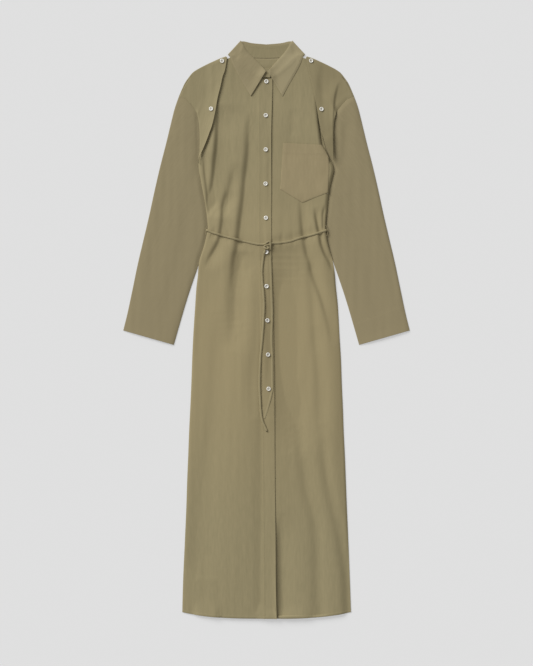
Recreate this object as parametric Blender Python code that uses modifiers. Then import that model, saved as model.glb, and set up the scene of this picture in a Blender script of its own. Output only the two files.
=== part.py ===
"""A long-sleeved shirt dress laid flat on the floor, as one solid for each piece of cloth.

Metres, +Z up, with the floor at z = 0. +X is to the right and +Y goes from the hem to the collar.
The origin is the bottom centre of the dress's box. Right and left in the names are the wearer's:
the right front is on the -X side and buttons over the left one.

Tables are in millimetres. Every piece is a grid of points on the middle of its cloth, thickened
by a Solidify modifier. Each is laid over the tops of the pieces below it, clear of them.
"""

import math
from collections import namedtuple

import bmesh
import bpy
import numpy as np
from mathutils import Vector

# Driving dimensions.
MM = 0.001
CLOTH = 1.1 * MM  # the wall of a single cloth
GAP = 0.3 * MM  # between pieces that touch
CLEAR = GAP + 0.05 * MM  # between pieces that lie on each other
HEM_Y = -678 * MM  # the hem's corners
HEM_DIP = 15 * MM  # the hem's middle is this much lower than its corners
UNDERARM_Y = 390 * MM
LOFT = 3.2 * MM  # the front's cloth between its valleys stands this far off what it lies on
LOFT_FROM_SIDE = 28 * MM  # how far in from the sides the loft is reached
LOFT_FROM_TOP = (560 * MM, 120 * MM)  # where it begins below the shoulders, and over what height
LOFT_FROM_HEM = (-700 * MM, 60 * MM)
BUTTON_WIDTH = 10.8 * MM
BUTTON_HEIGHT = 2.2 * MM
BUTTON_PITCH = 81.9 * MM
FIRST_BUTTON_Y = 595 * MM
COVERED_BUTTON = 6  # the long tail lies over this one
BELT_WIDTH = 5.2 * MM
BELT_PRESS = 0.62  # height over width of the belt's pressed tube
LOOP_WIDTH = 1.4 * MM
PANEL_INSET = 4.5 * MM  # where a shoulder panel's fold ends and its flat layers begin
PANEL_INSET_TOWARD = (0, 500 * MM)
PANEL_COLUMNS = 6
FREE_EDGE_RISE = 3.2 * MM  # how far a shoulder panel's free edge curls up
SEAM_RISE = 1.2 * MM  # and the roll along its other edge
SLEEVE_TUCK = 1.6 * MM  # a sleeve's folded edges lie this far outside its flat layers
CUFF_SLACK = 2.2 * MM  # how far a sleeve's layers stand apart at its middle
SLEEVE_FLAT = 3.1 * MM  # height of a sleeve where the body lies on it

# Colours (linear).
OLIVE = (0.283, 0.245, 0.138, 1.0)
OLIVE_DARK = (0.250, 0.215, 0.122, 1.0)
SHELL_WHITE = (0.800, 0.790, 0.740, 1.0)

Side = namedtuple("Side", "y left right")
# The body's side seams below the underarm and its armhole edges above it.
FRONT_SIDES = [
    Side(632, -131, 128),
    Side(599, -131, 122),
    Side(551, -133, 120),
    Side(508, -140, 124),
    Side(440, -158, 132),
    Side(412, -163, 150),
    Side(388, -162, 161),
    Side(332, -153, 154),
    Side(287, -145, 147),
    Side(244, -141, 143),
    Side(226, -143, 143),
    Side(208, -148, 147),
    Side(169, -160, 160),
    Side(128, -165, 167),
    Side(56, -172, 173),
    Side(-16, -176, 176),
    Side(-188, -184, 184),
    Side(-419, -193, 193),
    Side(-592, -201, 200),
    Side(-700, -203, 203),
]
BACK_SIDES = [
    Side(632, -129, 129),
    Side(551, -124, 124),
    Side(508, -126, 126),
    Side(440, -140, 140),
    Side(412, -152, 152),
] + FRONT_SIDES[6:]

Top = namedtuple("Top", "x y")
# The shoulder and neck edges, from the -X shoulder to the +X one.
FRONT_TOP = [
    Top(-131, 632),
    Top(-109, 643),
    Top(-90, 651),
    Top(-78, 656),
    Top(-68, 645),
    Top(-49, 627),
    Top(-25, 609),
    Top(0, 601),
    Top(25, 609),
    Top(49, 627),
    Top(68, 645),
    Top(78, 656),
    Top(90, 651),
    Top(109, 643),
    Top(128, 632),
]
BACK_TOP = [
    Top(-129, 632),
    Top(-90, 651),
    Top(-76, 655),
    Top(-45, 649.5),
    Top(0, 648),
    Top(45, 649.5),
    Top(76, 655),
    Top(90, 651),
    Top(129, 632),
]

Opening = namedtuple("Opening", "y seam edge")
# The button strip on the right front: the seam that joins it and its free edge.
PLACKET = [
    Opening(602, -18.5, 14.4),
    Opening(431, -18.0, 13.4),
    Opening(212, -18.0, 11.8),
    Opening(85, -15.6, 14.6),
    Opening(-97, -12.0, 18.5),
    Opening(-311, -10.0, 20.4),
    Opening(-500, -8.0, 23.5),
    Opening(-700, -6.0, 27.6),
]

Fold = namedtuple("Fold", "top_x top_y mid_x mid_y end_x end_y width depth")
# The valleys in the fronts, each a bent line from its top to its end.
VALLEYS = [
    Fold(-119, 495, -127, 390, -143, 290, 11, 3.0),
    Fold(-44, 522, -57, 350, -70, 205, 12, 3.6),
    Fold(-70, 205, -86, 120, -90, -40, 13, 3.4),
    Fold(-89, 373, -109, 270, -150, 130, 10, 2.4),
    Fold(71, 307, 92, 205, 140, 30, 12, 3.2),
    Fold(118, 287, 133, 190, 154, 160, 9, 2.4),
    Fold(95, 110, 115, -30, 154, -190, 12, 2.2),
    Fold(26, 148, 36, -30, 44, -140, 14, 1.6),
    Fold(-18, 148, -38, -80, -16, -560, 15, 1.8),
    Fold(72, -280, 108, -450, 116, -655, 14, 3.0),
    Fold(135, -280, 165, -500, 184, -655, 13, 2.4),
    Fold(-138, -280, -158, -360, -172, -440, 15, 1.8),
]

Leaf = namedtuple("Leaf", "inner_x inner_y outer_x outer_y")
# The collar's fall, from its front edge to the fold at the side of the neck.
COLLAR_LEFT_LEAF = [
    Leaf(4.5, 619, 38.6, 559),
    Leaf(15, 633, 50, 580),
    Leaf(27.6, 647, 63, 603),
    Leaf(46, 668, 79, 632),
    Leaf(59, 689.5, 90, 655),
]
COLLAR_RIGHT_LEAF = [
    Leaf(-1.5, 619, -37.7, 559),
    Leaf(-13, 634, -50, 580),
    Leaf(-26, 647, -64, 603),
    Leaf(-46, 668, -79, 632),
    Leaf(-59, 689.5, -90, 655),
]
# One side's fold and the half of the collar behind the neck, to its middle.
COLLAR_BACK = [
    Leaf(62.0, 692.6, 93.5, 659.5),
    Leaf(60, 691.2, 90, 656),
    Leaf(52, 691, 72, 641),
    Leaf(34, 687, 52, 638),
    Leaf(0, 684, 0, 636),
]
STAND_FRONT = [
    Leaf(6, 625, 6, 604),
    Leaf(15, 630, 24, 611),
    Leaf(29, 645, 48, 630),
    Leaf(47, 665, 66.5, 648),
]
STAND_BACK = [
    Leaf(57.5, 683, 76, 664),
    Leaf(52, 685, 64, 656),
    Leaf(32, 682, 42, 652.5),
    Leaf(0, 679.5, 0, 650.5),
]
STAND_OVERLAP = 9 * MM  # each end of the stand runs on past the middle by this much
LEAF_RISE = 1.3 * MM  # how far a leaf of the collar stands off the stand and the fronts

Corner = namedtuple("Corner", "x y")
# The shoulder panel's free inner edge, from the neck to its lower tip.
RIGHT_PANEL_EDGE = [
    Corner(-97, 655),
    Corner(-105, 606),
    Corner(-116, 558),
    Corner(-123, 522),
    Corner(-130, 490),
    Corner(-144, 451),
    Corner(-160, 413),
    Corner(-161.5, 400),
]
LEFT_PANEL_EDGE = [
    Corner(97, 655),
    Corner(109, 584),
    Corner(118, 546),
    Corner(127, 493),
    Corner(136, 458),
    Corner(150, 426),
    Corner(161, 401),
]
# The rest is the +X side, and the -X side mirrors it.
SHOULDER_FOLD = [
    Corner(97, 655),
    Corner(109, 651),
    Corner(121, 646),
    Corner(151, 632),
    Corner(175, 618),
    Corner(187, 604),
    Corner(203, 576),
    Corner(210, 559),
]
# The seam between the panel and its sleeve, from the shoulder to the underarm.
ARMHOLE = [
    Corner(210, 559),
    Corner(193, 552),
    Corner(181, 539),
    Corner(167, 521),
    Corner(140, 480),
    Corner(110, 435),
    Corner(80, 394),
]
SEEN_ARMHOLE = 4  # the seam's first points show; the panel's fold hides the rest
PANEL_FOLD = [
    Corner(164.6, 500),
    Corner(163.2, 475),
    Corner(163, 450),
    Corner(163.2, 425),
    Corner(163.5, 399),
]
HIDDEN_PANEL_EDGE = [Corner(92, 652), Corner(86, 560), Corner(80, 396)]
SLEEVE_OUTER = [
    Corner(210, 559),
    Corner(227, 503),
    Corner(244, 445),
    Corner(262.8, 359),
    Corner(289, 244),
    Corner(313, 128),
    Corner(333, 42),
    Corner(343.5, -2.5),
]
SLEEVE_INNER = [
    Corner(80, 394),
    Corner(120, 280),
    Corner(161, 160),
    Corner(191, 71),
    Corner(222.5, -37),
]

Turn = namedtuple("Turn", "x y")
# The belt's middle line: its two front runs from the knot outwards, and half of the back one.
BELT_LEFT_RUN = [
    Turn(9.2, 206),
    Turn(20, 207),
    Turn(34, 208),
    Turn(58, 212),
    Turn(84, 221),
    Turn(109, 227),
    Turn(136, 235),
]
BELT_RIGHT_RUN = [
    Turn(-5.0, 204),
    Turn(-22, 205),
    Turn(-46, 210),
    Turn(-67, 215),
    Turn(-101, 224),
    Turn(-134, 234),
]
BELT_SIDE = Turn(147.0, 238)
BELT_BACK_RUN = [Turn(137, 236), Turn(122, 234), Turn(60, 228), Turn(0, 226)]
Stitch = namedtuple("Stitch", "out y")
# A thread belt loop: how far it stands out from the side seam at each height.
BELT_LOOP = [
    Stitch(0.8, 250),
    Stitch(5, 249),
    Stitch(10, 244),
    Stitch(11, 236),
    Stitch(7, 226),
    Stitch(0.8, 221),
]
KNOT = Turn(2.5, 199)
KNOT_SIZE = (15 * MM, 18 * MM, 7 * MM)
LONG_TAIL = [
    Turn(-3.5, 189.8),
    Turn(-7, 178),
    Turn(-11.3, 141),
    Turn(-9.6, 112),
    Turn(-7.2, 88),
    Turn(-5.6, 60),
    Turn(-6.4, 24),
    Turn(-9, -20),
    Turn(-13.6, -70),
    Turn(-15.8, -128),
    Turn(-15.2, -172),
    Turn(-12, -210),
    Turn(-3.8, -233),
    Turn(1.0, -243.5),
]
SHORT_TAIL = [
    Turn(8.3, 192),
    Turn(8.4, 171),
    Turn(9.1, 137),
    Turn(11.3, 71),
    Turn(12.4, 40),
    Turn(10.9, -20),
    Turn(12.2, -60),
    Turn(12.6, -115),
    Turn(13.6, -140),
    Turn(11.0, -156),
    Turn(7.6, -170),
    Turn(1.5, -193),
    Turn(-5.4, -214),
]
Spot = namedtuple("Spot", "node x y")
PANEL_BUTTONS = [
    Spot("button_panel_right_neck", -106.5, 644),
    Spot("button_panel_right_chest", -132.7, 529),
    Spot("button_panel_left_neck", 107.0, 644.5),
    Spot("button_panel_left_chest", 131.8, 528),
]
# How far each front button lies from a plumb line through the first one.
BUTTON_DRIFT = [0, -1.5, -1.5, -1.9, -1.0, 0.5, 0.5, 2.4, 3.8, 5.3]
FIRST_BUTTON_X = -0.3 * MM

POCKET_TOP = [Corner(40, 447), Corner(131, 442)]
POCKET_FOOT = [Corner(33, 336), Corner(86, 304), Corner(147, 328)]
POCKET_SIDE = [Corner(131, 442), Corner(147.5, 413), Corner(150, 385), Corner(147, 328)]


def interpolate(table, y, field):
    """A column of a table of rows with y, read at y (in metres), in metres."""
    rows = sorted(table, key=lambda row: row.y)
    return np.interp(y / MM, [row.y for row in rows], [getattr(row, field) for row in rows]) * MM


def top_of(table, x):
    return np.interp(x / MM, [row.x for row in table], [row.y for row in table]) * MM


def points_of(table, side=1):
    """A table's rows as points, in metres; side -1 mirrors them to -X."""
    return np.array([(side * row.x, row.y) for row in table], float) * MM


def shares_along(points):
    """How far along the line through these points each one lies, from 0 to 1."""
    along = np.concatenate([[0], np.cumsum(np.linalg.norm(np.diff(points, axis=0), axis=1))])
    return along / along[-1]


def sampled(points, shares):
    """The points at these shares of the length of the line through points."""
    points = np.asarray(points)
    return np.stack([np.interp(shares, shares_along(points), column) for column in points.T], axis=1)


def resampled(points, count):
    return sampled(points, np.linspace(0, 1, count))


def rounded(points, per_span=8):
    """A smooth curve through these points (Catmull-Rom)."""
    ends = [2 * points[0] - points[1], *points, 2 * points[-1] - points[-2]]
    curve = []
    for a, b, c, d in zip(ends, ends[1:], ends[2:], ends[3:]):
        bend, twist = 2 * a - 5 * b + 4 * c - d, 3 * b - a - 3 * c + d
        for t in np.arange(per_span) / per_span:
            curve.append(b + 0.5 * ((c - a) * t + bend * t**2 + twist * t**3))
    return np.array([*curve, points[-1]])


# The laid heights: each piece's top on a square raster over the floor.
CELL = 2.5 * MM
RASTER_X = np.arange(-144, 145) * CELL
RASTER_Y = np.arange(-288, 289) * CELL
NEAR = 0.6 * CELL  # a cell counts as under a triangle that comes this near its middle
STEEPEST = 0.20  # the slope at which cloth leaves a step in what is below it
tops = {}


def corner_numbers(shape):
    """Which of a grid's points are the corners of its triangles, two for each of its squares."""
    numbers = np.arange(shape[0] * shape[1]).reshape(shape[:2])
    a, b, c, d = numbers[:-1, :-1], numbers[:-1, 1:], numbers[1:, 1:], numbers[1:, :-1]
    return np.concatenate([np.stack([a, b, c], 2).reshape(-1, 3), np.stack([a, c, d], 2).reshape(-1, 3)])


def triangles(grid):
    return grid.reshape(-1, 3)[corner_numbers(grid.shape)]


def cells_in(triangle, margin):
    """The raster cells within margin of a triangle, and the triangle's height at each."""
    low, high = triangle[:, :2].min(0) - margin, triangle[:, :2].max(0) + margin
    i = np.flatnonzero((RASTER_X >= low[0]) & (RASTER_X <= high[0]))
    j = np.flatnonzero((RASTER_Y >= low[1]) & (RASTER_Y <= high[1]))
    i, j = (a.ravel() for a in np.meshgrid(i, j, indexing="ij"))
    across = np.array([triangle[1] - triangle[0], triangle[2] - triangle[0]])
    area = across[0, 0] * across[1, 1] - across[0, 1] * across[1, 0]
    if abs(area) < 1e-4 * MM**2 or not len(i):
        return i[:0], j[:0], np.zeros(0)
    dx, dy = RASTER_X[i] - triangle[0, 0], RASTER_Y[j] - triangle[0, 1]
    u = (dx * across[1, 1] - dy * across[1, 0]) / area
    v = (dy * across[0, 0] - dx * across[0, 1]) / area
    reach = margin * np.linalg.norm(across[:, :2], axis=1).max() / abs(area)
    near = (u >= -reach) & (v >= -reach) & (u + v <= 1 + reach)
    return i[near], j[near], (triangle[0, 2] + u * across[0, 2] + v * across[1, 2])[near]


def record_top(name, grid, rise=CLOTH / 2):
    """Adds a grid's top to the raster of the piece's name."""
    raster = tops.setdefault(name, np.full((len(RASTER_X), len(RASTER_Y)), -CLEAR))
    for triangle in triangles(grid):
        i, j, z = cells_in(triangle, NEAR)
        z = np.minimum(z, triangle[:, 2].max()) + rise
        raster[i, j] = np.maximum(raster[i, j], z)


def neighbours(raster):
    """The raster moved by one cell in each of the eight directions."""
    padded = np.pad(raster, 1, mode="edge")
    for i in (0, 1, 2):
        for j in (0, 1, 2):
            if (i, j) != (1, 1):
                yield math.hypot(i - 1, j - 1), padded[i : i + raster.shape[0], j : j + raster.shape[1]]


def heights_over(names):
    """What a cloth over these pieces rests on, with its steps bridged at STEEPEST, and the bare tops."""
    surface = np.max([tops[name] for name in names], axis=0)
    surface = np.max([surface, *(moved for _, moved in neighbours(surface))], axis=0)
    grown = np.max([surface, *(moved for _, moved in neighbours(surface))], axis=0)
    for _ in range(16):
        grown = np.max([grown, *(moved - STEEPEST * CELL * far for far, moved in neighbours(grown))], axis=0)
    for _ in range(2):
        grown = np.mean([grown, *(moved for _, moved in neighbours(grown))], axis=0)
    return np.maximum(grown, surface), surface


def read(raster, x, y):
    """The raster between its cells."""
    u = np.clip((x - RASTER_X[0]) / CELL, 0, len(RASTER_X) - 1.001)
    v = np.clip((y - RASTER_Y[0]) / CELL, 0, len(RASTER_Y) - 1.001)
    i, j = u.astype(int), v.astype(int)
    u, v = u - i, v - j
    low = raster[i, j] * (1 - u) + raster[i + 1, j] * u
    high = raster[i, j + 1] * (1 - u) + raster[i + 1, j + 1] * u
    return low * (1 - v) + high * v


def laid(name, flat, over, lift=0.0, thickness=CLOTH):
    """The grid of a cloth laid over pieces: flat's points, at the height where nothing is touched.

    lift is how much higher than that each point stands. A triangle that would still come nearer
    than GAP to what is below takes its corners up by as much.
    """
    eased, surface = heights_over(over)
    z = read(eased, flat[..., 0], flat[..., 1]) + CLEAR + thickness / 2 + lift
    grid = np.dstack([flat[..., 0], flat[..., 1], z])
    raised = np.zeros(z.size)
    for triangle, corners in zip(triangles(grid), corner_numbers(grid.shape)):
        i, j, height = cells_in(triangle, NEAR)
        if len(i):
            short = (surface[i, j] + CLEAR + thickness / 2 - height).max()
            raised[corners] = np.maximum(raised[corners], short)
    grid[..., 2] += raised.reshape(z.shape)
    record_top(name, grid, thickness / 2)
    return grid


def material(name, colour, roughness):
    made = bpy.data.materials.new(name)
    made.use_nodes = True
    shader = made.node_tree.nodes["Principled BSDF"]
    shader.inputs["Base Color"].default_value = colour
    shader.inputs["Roughness"].default_value = roughness
    shader.inputs["Metallic"].default_value = 0.0
    return made


def add_object(name, data, look):
    made = bpy.data.objects.new(name, data)
    made.data.materials.append(look)
    dress.objects.link(made)
    return made


def cloth_object(name, grid, look, thickness=CLOTH, closed=False):
    """A grid of points on the middle of a cloth, as a surface with a Solidify modifier."""
    rows, columns = grid.shape[:2]
    number = np.arange(rows * columns).reshape(rows, columns)
    if closed:
        number = np.concatenate([number, number[:, :1]], axis=1)
    faces = np.stack([number[:-1, :-1], number[:-1, 1:], number[1:, 1:], number[1:, :-1]], 2).reshape(-1, 4)
    mesh = bpy.data.meshes.new(name)
    mesh.from_pydata(grid.reshape(-1, 3).tolist(), [], faces.tolist())
    shell = bmesh.new()
    shell.from_mesh(mesh)
    bmesh.ops.recalc_face_normals(shell, faces=shell.faces)
    shell.to_mesh(mesh)
    shell.free()
    mesh.shade_smooth()
    made = add_object(name, mesh, look)
    wall = made.modifiers.new("wall", "SOLIDIFY")
    wall.thickness = thickness
    wall.offset = 0.0
    return made


def tube_object(name, path, width, look, press=1.0):
    """A tube along a path, pressed to a share of its width in height."""
    curve = bpy.data.curves.new(name, "CURVE")
    curve.dimensions = "3D"
    curve.bevel_depth = width / 2
    curve.bevel_resolution = 2
    curve.use_fill_caps = True
    line = curve.splines.new("POLY")
    line.points.add(len(path) - 1)
    for point, (x, y, z) in zip(line.points, path):
        point.co = (x, y, z / press, 1.0)
    made = add_object(name, curve, look)
    made.scale = (1.0, 1.0, press)
    return made


# The body: rows from the hem to the shoulders, closest together at the waist.
SKIRT_ROWS = HEM_Y * np.linspace(1.0, 0.12, 9)
WAIST_ROWS = MM * np.array([-28, 12, 52, 92, 132, 168, 200, 216, 229, 242, 256, 280, 312, 350])
ROWS_BELOW_ARM = np.concatenate([SKIRT_ROWS, WAIST_ROWS, [UNDERARM_Y]])
ROWS_BY_ARM = 8


def body_grid(sides, top, left_edge, right_edge, columns):
    """The flat points of a body panel between two edges, which are functions of y."""
    grid = []
    for y in ROWS_BELOW_ARM:
        x = np.linspace(left_edge(y), right_edge(y), columns)
        near_hem = max(0.0, (y - SKIRT_ROWS[3]) / (HEM_Y - SKIRT_ROWS[3]))
        half = interpolate(sides, y, "right")
        dip = HEM_DIP * near_hem * (1 - np.abs(x / half) ** 3)
        grid.append(np.stack([x, y - dip], 1))
    for share in np.arange(1, ROWS_BY_ARM + 1) / ROWS_BY_ARM:
        reach = UNDERARM_Y + share * (sides[0].y * MM - UNDERARM_Y)
        x = np.linspace(left_edge(reach), right_edge(reach), columns)
        grid.append(np.stack([x, UNDERARM_Y + share * (top_of(top, x) - UNDERARM_Y)], 1))
    return np.array(grid)


def valley_depth(x, y):
    """How deep in a fold each point lies, greatest at the fold's middle."""
    depth = np.zeros_like(x)
    for fold in VALLEYS:
        bends = np.array([(fold.top_x, fold.top_y), (fold.mid_x, fold.mid_y), (fold.end_x, fold.end_y)]) * MM
        line = resampled(rounded(bends), 40)
        away = np.hypot(x[..., None] - line[:, 0], y[..., None] - line[:, 1])
        along = away.argmin(-1) / (len(line) - 1)
        fade = np.sin(np.pi * np.clip(along, 0.02, 0.98)) ** 0.5
        depth = np.maximum(depth, fold.depth * MM * fade * np.exp(-((away.min(-1) / (fold.width * MM)) ** 2)))
    return depth


def front_lift(flat):
    """How far the front's cloth stands off: a loft that the folds cut into and the edges lose."""
    x, y = flat[..., 0], flat[..., 1]
    half = np.where(x < 0, -interpolate(FRONT_SIDES, y, "left"), interpolate(FRONT_SIDES, y, "right"))
    from_side = np.clip((half - np.abs(x)) / LOFT_FROM_SIDE, 0, 1)
    from_top = np.clip((LOFT_FROM_TOP[0] - y) / LOFT_FROM_TOP[1], 0, 1)
    from_hem = np.clip((y - LOFT_FROM_HEM[0]) / LOFT_FROM_HEM[1], 0.35, 1)
    loft = LOFT * np.sin(from_side * np.pi / 2) * from_top * from_hem
    return np.maximum(loft - valley_depth(x, y), 0.0)


def seam_x(y):
    return interpolate(PLACKET, y, "seam")


def edge_x(y):
    return interpolate(PLACKET, y, "edge")


FRONT_PIECES = ["back", "front_left", "front_right", "placket"]
UNDER_BODY = ["sleeve_right", "sleeve_left", "panel_under", "collar_under", "belt_under"]


def build_back():
    def side(field):
        return lambda y: interpolate(BACK_SIDES, y, field)

    flat = body_grid(BACK_SIDES, BACK_TOP, side("left"), side("right"), 13)
    cloth_object("back", laid("back", flat, UNDER_BODY), cloth)


def build_fronts():
    """The left front runs to the button strip's seam, under the strip; the right one meets it there."""
    def left_side(y):
        return interpolate(FRONT_SIDES, y, "left") + GAP

    def right_side(y):
        return interpolate(FRONT_SIDES, y, "right") - GAP

    left = body_grid(FRONT_SIDES, FRONT_TOP, lambda y: seam_x(y) + 2 * MM, right_side, 10)
    over = [*UNDER_BODY, "back"]
    cloth_object("front_left", laid("front_left", left, over, front_lift(left)), cloth)
    right = body_grid(FRONT_SIDES, FRONT_TOP, left_side, lambda y: seam_x(y) - GAP, 9)
    over.append("front_left")
    cloth_object("front_right", laid("front_right", right, over, front_lift(right)), cloth)


def build_placket():
    flat = body_grid(FRONT_SIDES, FRONT_TOP, seam_x, edge_x, 3)
    lift = 0.8 * front_lift(flat)
    cloth_object("placket", laid("placket", flat, ["back", "front_left"], lift), cloth)


def build_pocket():
    rows, columns = 7, 7
    left = resampled(np.array([points_of(POCKET_TOP)[0], points_of(POCKET_FOOT)[0]]), rows)
    right = resampled(points_of(POCKET_SIDE), rows)
    foot = resampled(points_of(POCKET_FOOT), columns)
    chord = resampled(foot[[0, -1]], columns)
    flat = []
    for share, start, end in zip(np.linspace(0, 1, rows), left, right):
        flat.append(resampled(np.array([start, end]), columns) + share**2 * (foot - chord))
    flat = np.array(flat)
    cloth_object("pocket", laid("pocket", flat, ["back", "front_left"]), cloth)


def build_sleeve(name, side):
    """A flattened tube: rings from the armhole seam to the cuff.

    The body lies on the inner side of its upper half, and elsewhere its layers stand slightly apart.
    """
    rings = 17
    outer = resampled(rounded(points_of(SLEEVE_OUTER, side)), rings)
    inner = resampled(rounded(points_of(SLEEVE_INNER, side)), rings)
    seam = points_of(ARMHOLE, side)
    across = shares_along(seam)
    bend = seam - sampled(seam[[0, -1]], across)
    grid = []
    for share, start, end in zip(np.linspace(0, 1, rings), outer, inner):
        line = sampled([start, end], across) + bend * max(0.0, 1 - share * 5)
        covered = np.clip(1.25 - share * 2.2, 0, 1) * np.clip(across * 1.6, 0, 1)
        puff = CUFF_SLACK * np.sin(np.pi * across) ** 0.8 * (1 - covered)
        toward = (end - start) / np.linalg.norm(end - start)
        flat = line.copy()
        flat[0] += toward * SLEEVE_TUCK
        flat[-1] -= toward * SLEEVE_TUCK
        low = [(*point, CLOTH / 2) for point in flat]
        high = [(*point, SLEEVE_FLAT + rise - CLOTH / 2) for point, rise in zip(flat, puff)]
        grid.append([*low, (*end, SLEEVE_FLAT / 2), *high[::-1], (*start, SLEEVE_FLAT / 2)])
    grid = np.array(grid)
    cloth_object(name, grid, cloth, closed=True)
    record_top(name, grid[:, len(seam) + 1 : 2 * len(seam) + 1])


def panel_lines(inside, outside, shares, side):
    """Lines across a shoulder panel, bent like the shoulder's fold near it."""
    fold = resampled(points_of(SHOULDER_FOLD, side), PANEL_COLUMNS)
    bend = fold - resampled(fold[[0, -1]], PANEL_COLUMNS)
    lines = []
    for share, start, end in zip(shares, sampled(inside, shares), sampled(outside, shares)):
        lines.append(resampled([start, end], PANEL_COLUMNS) + bend * (1 - share) ** 2)
    lines[0] = fold
    return np.array(lines)


def seam_side(side):
    """The armhole seam's points on the panel, GAP from those on the sleeve."""
    return points_of(ARMHOLE, side) + np.array([-side, 1]) * GAP / 1.3


def hidden_panel(side):
    """The back of a shoulder panel, on the floor from the shoulder's fold to the underarm."""
    seam, edge = seam_side(side), points_of(HIDDEN_PANEL_EDGE, side)
    grid = panel_lines(edge, seam, shares_along(seam), side)
    return np.dstack([grid, np.full(grid.shape[:2], CLOTH / 2)])


def build_panel(name, side, inner_edge):
    """A shoulder panel: its front lies on the body, and its back goes over the shoulder and under it."""
    outer = np.concatenate([seam_side(side)[:SEEN_ARMHOLE], points_of(PANEL_FOLD, side)])
    shares = np.union1d(shares_along(outer), [0.62, 0.78])
    front = panel_lines(points_of(inner_edge), outer, shares, side)
    under = hidden_panel(side)
    fold = front[0].copy()
    fold[-1] = outer[0]
    toward = PANEL_INSET_TOWARD - fold
    toward *= PANEL_INSET / np.linalg.norm(toward, axis=1)[:, None]
    front[0] += toward
    under[0, :, :2] += toward
    share = shares[:, None]
    across = np.linspace(0, 1, PANEL_COLUMNS)[None]
    at_free_edge = np.exp(-(across / 0.25)) * np.sin(np.pi * np.clip(share * 1.15, 0.05, 1)) ** 0.6
    at_seam = np.exp(-(((across - 0.8) / 0.15) ** 2)) * np.clip(share * 3, 0, 1)
    over = [*UNDER_BODY, "back", "front_right", "front_left", "pocket"]
    top = laid(name, front, over, FREE_EDGE_RISE * at_free_edge + SEAM_RISE * at_seam)
    between = np.column_stack([fold, (top[0, :, 2] + CLOTH / 2) / 2])[None]
    record_top(name, np.concatenate([between, top[:1]]))
    cloth_object(name, np.concatenate([under[::-1], between, top]), cloth)


def leaf_line(leaves, side=1, columns=4):
    """Lines across the collar, one for each row of a table."""
    lines = []
    for leaf in leaves:
        ends = np.array([(side * leaf.inner_x, leaf.inner_y), (side * leaf.outer_x, leaf.outer_y)]) * MM
        lines.append(resampled(ends, columns))
    return np.array(lines)


def collar_under_grid():
    half = leaf_line(COLLAR_BACK[1:])
    other = leaf_line(COLLAR_BACK[1:], -1)
    flat = np.concatenate([half, other[::-1][1:]])
    return np.dstack([flat, np.full(flat.shape[:2], CLOTH / 2)])


def build_stand():
    """The collar's stand: its back lies on the fall, its ends on the neck of the fronts."""
    columns = 3
    back = leaf_line(STAND_BACK[1:], 1, columns)
    other = leaf_line(STAND_BACK[1:], -1, columns)
    flat = np.concatenate([back, other[::-1][1:]])
    middle = laid("stand_back", flat, ["collar_under"])
    ends = []
    for side in (1, -1):
        front = leaf_line(STAND_FRONT, side, columns)
        front[0, :, 0] = -side * STAND_OVERLAP
        if side > 0:
            front = laid("stand_left", front, FRONT_PIECES)
        else:
            front = laid("stand_right", front, [*FRONT_PIECES, "stand_left"])
        fold = leaf_line(STAND_BACK[:1], side, columns)[0]
        behind = middle[0 if side > 0 else -1]
        turn = np.column_stack([fold, (front[-1, :, 2] + behind[:, 2]) / 2 + 0.4 * MM])[None]
        record_top("stand_turns", np.concatenate([front[-1:], turn, behind[None]]))
        ends.append((front, turn))
    (left, left_fold), (right, right_fold) = ends
    grid = np.concatenate([left, left_fold, middle, right_fold, right[::-1]])
    cloth_object("collar_stand", grid, cloth)


def build_collar():
    """The collar's fall: two leaves on the fronts, joined round the back of the neck."""
    under = collar_under_grid()
    over = [*FRONT_PIECES, "stand_left", "stand_right", "stand_turns", "collar_under"]
    pieces = []
    for side, table in ((1, COLLAR_LEFT_LEAF), (-1, COLLAR_RIGHT_LEAF)):
        flat = leaf_line(table)
        share = np.linspace(0, 1, flat.shape[1])[None]
        tip = np.linspace(1, 0, len(table))[:, None]
        lift = LEAF_RISE * (0.3 + 0.6 * np.sin(np.pi * share) + 0.8 * share * tip)
        leaf = laid(f"leaf_{side}", flat, over, lift)
        fold = leaf_line(COLLAR_BACK[:1], side)[0]
        height = (leaf[-1, :, 2] + CLOTH / 2) / 2
        pieces.append((leaf, np.column_stack([fold, height])[None]))
    (left, left_fold), (right, right_fold) = pieces
    grid = np.concatenate([left, left_fold, under, right_fold, right[::-1]])
    cloth_object("collar", grid, cloth)


def on_top(path, over, lift):
    """A flat path's points, lift above the pieces that they lie on."""
    eased, _ = heights_over(over)
    return np.column_stack([path, read(eased, path[:, 0], path[:, 1]) + CLEAR + lift])


def strand(points, over):
    """The middle line of a stretch of the belt that lies on these pieces, through flat points."""
    curve = rounded(points)
    length = np.linalg.norm(np.diff(curve, axis=0), axis=1).sum()
    return on_top(resampled(curve, math.ceil(length / BELT_STEP) + 1), over, BELT_RISE)


BELT_RISE = BELT_WIDTH * BELT_PRESS / 2
BELT_STEP = 2.8 * BELT_WIDTH


def belt_back_path():
    half = points_of(BELT_BACK_RUN)
    return strand(np.concatenate([half, half[::-1][1:] * (-1, 1)]), ["sleeve_right", "sleeve_left"])


def record_belt():
    """The belt's back run, out to the sides, for the body that lies on it."""
    end = on_top(points_of([BELT_SIDE]), ["sleeve_left"], BELT_RISE)
    full = np.concatenate([end, belt_back_path(), end * (-1, 1, 1)])
    wide = np.array([0, BELT_WIDTH / 2, 0])
    record_top("belt_under", np.stack([full - wide, full, full + wide], 1), BELT_RISE)


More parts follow.
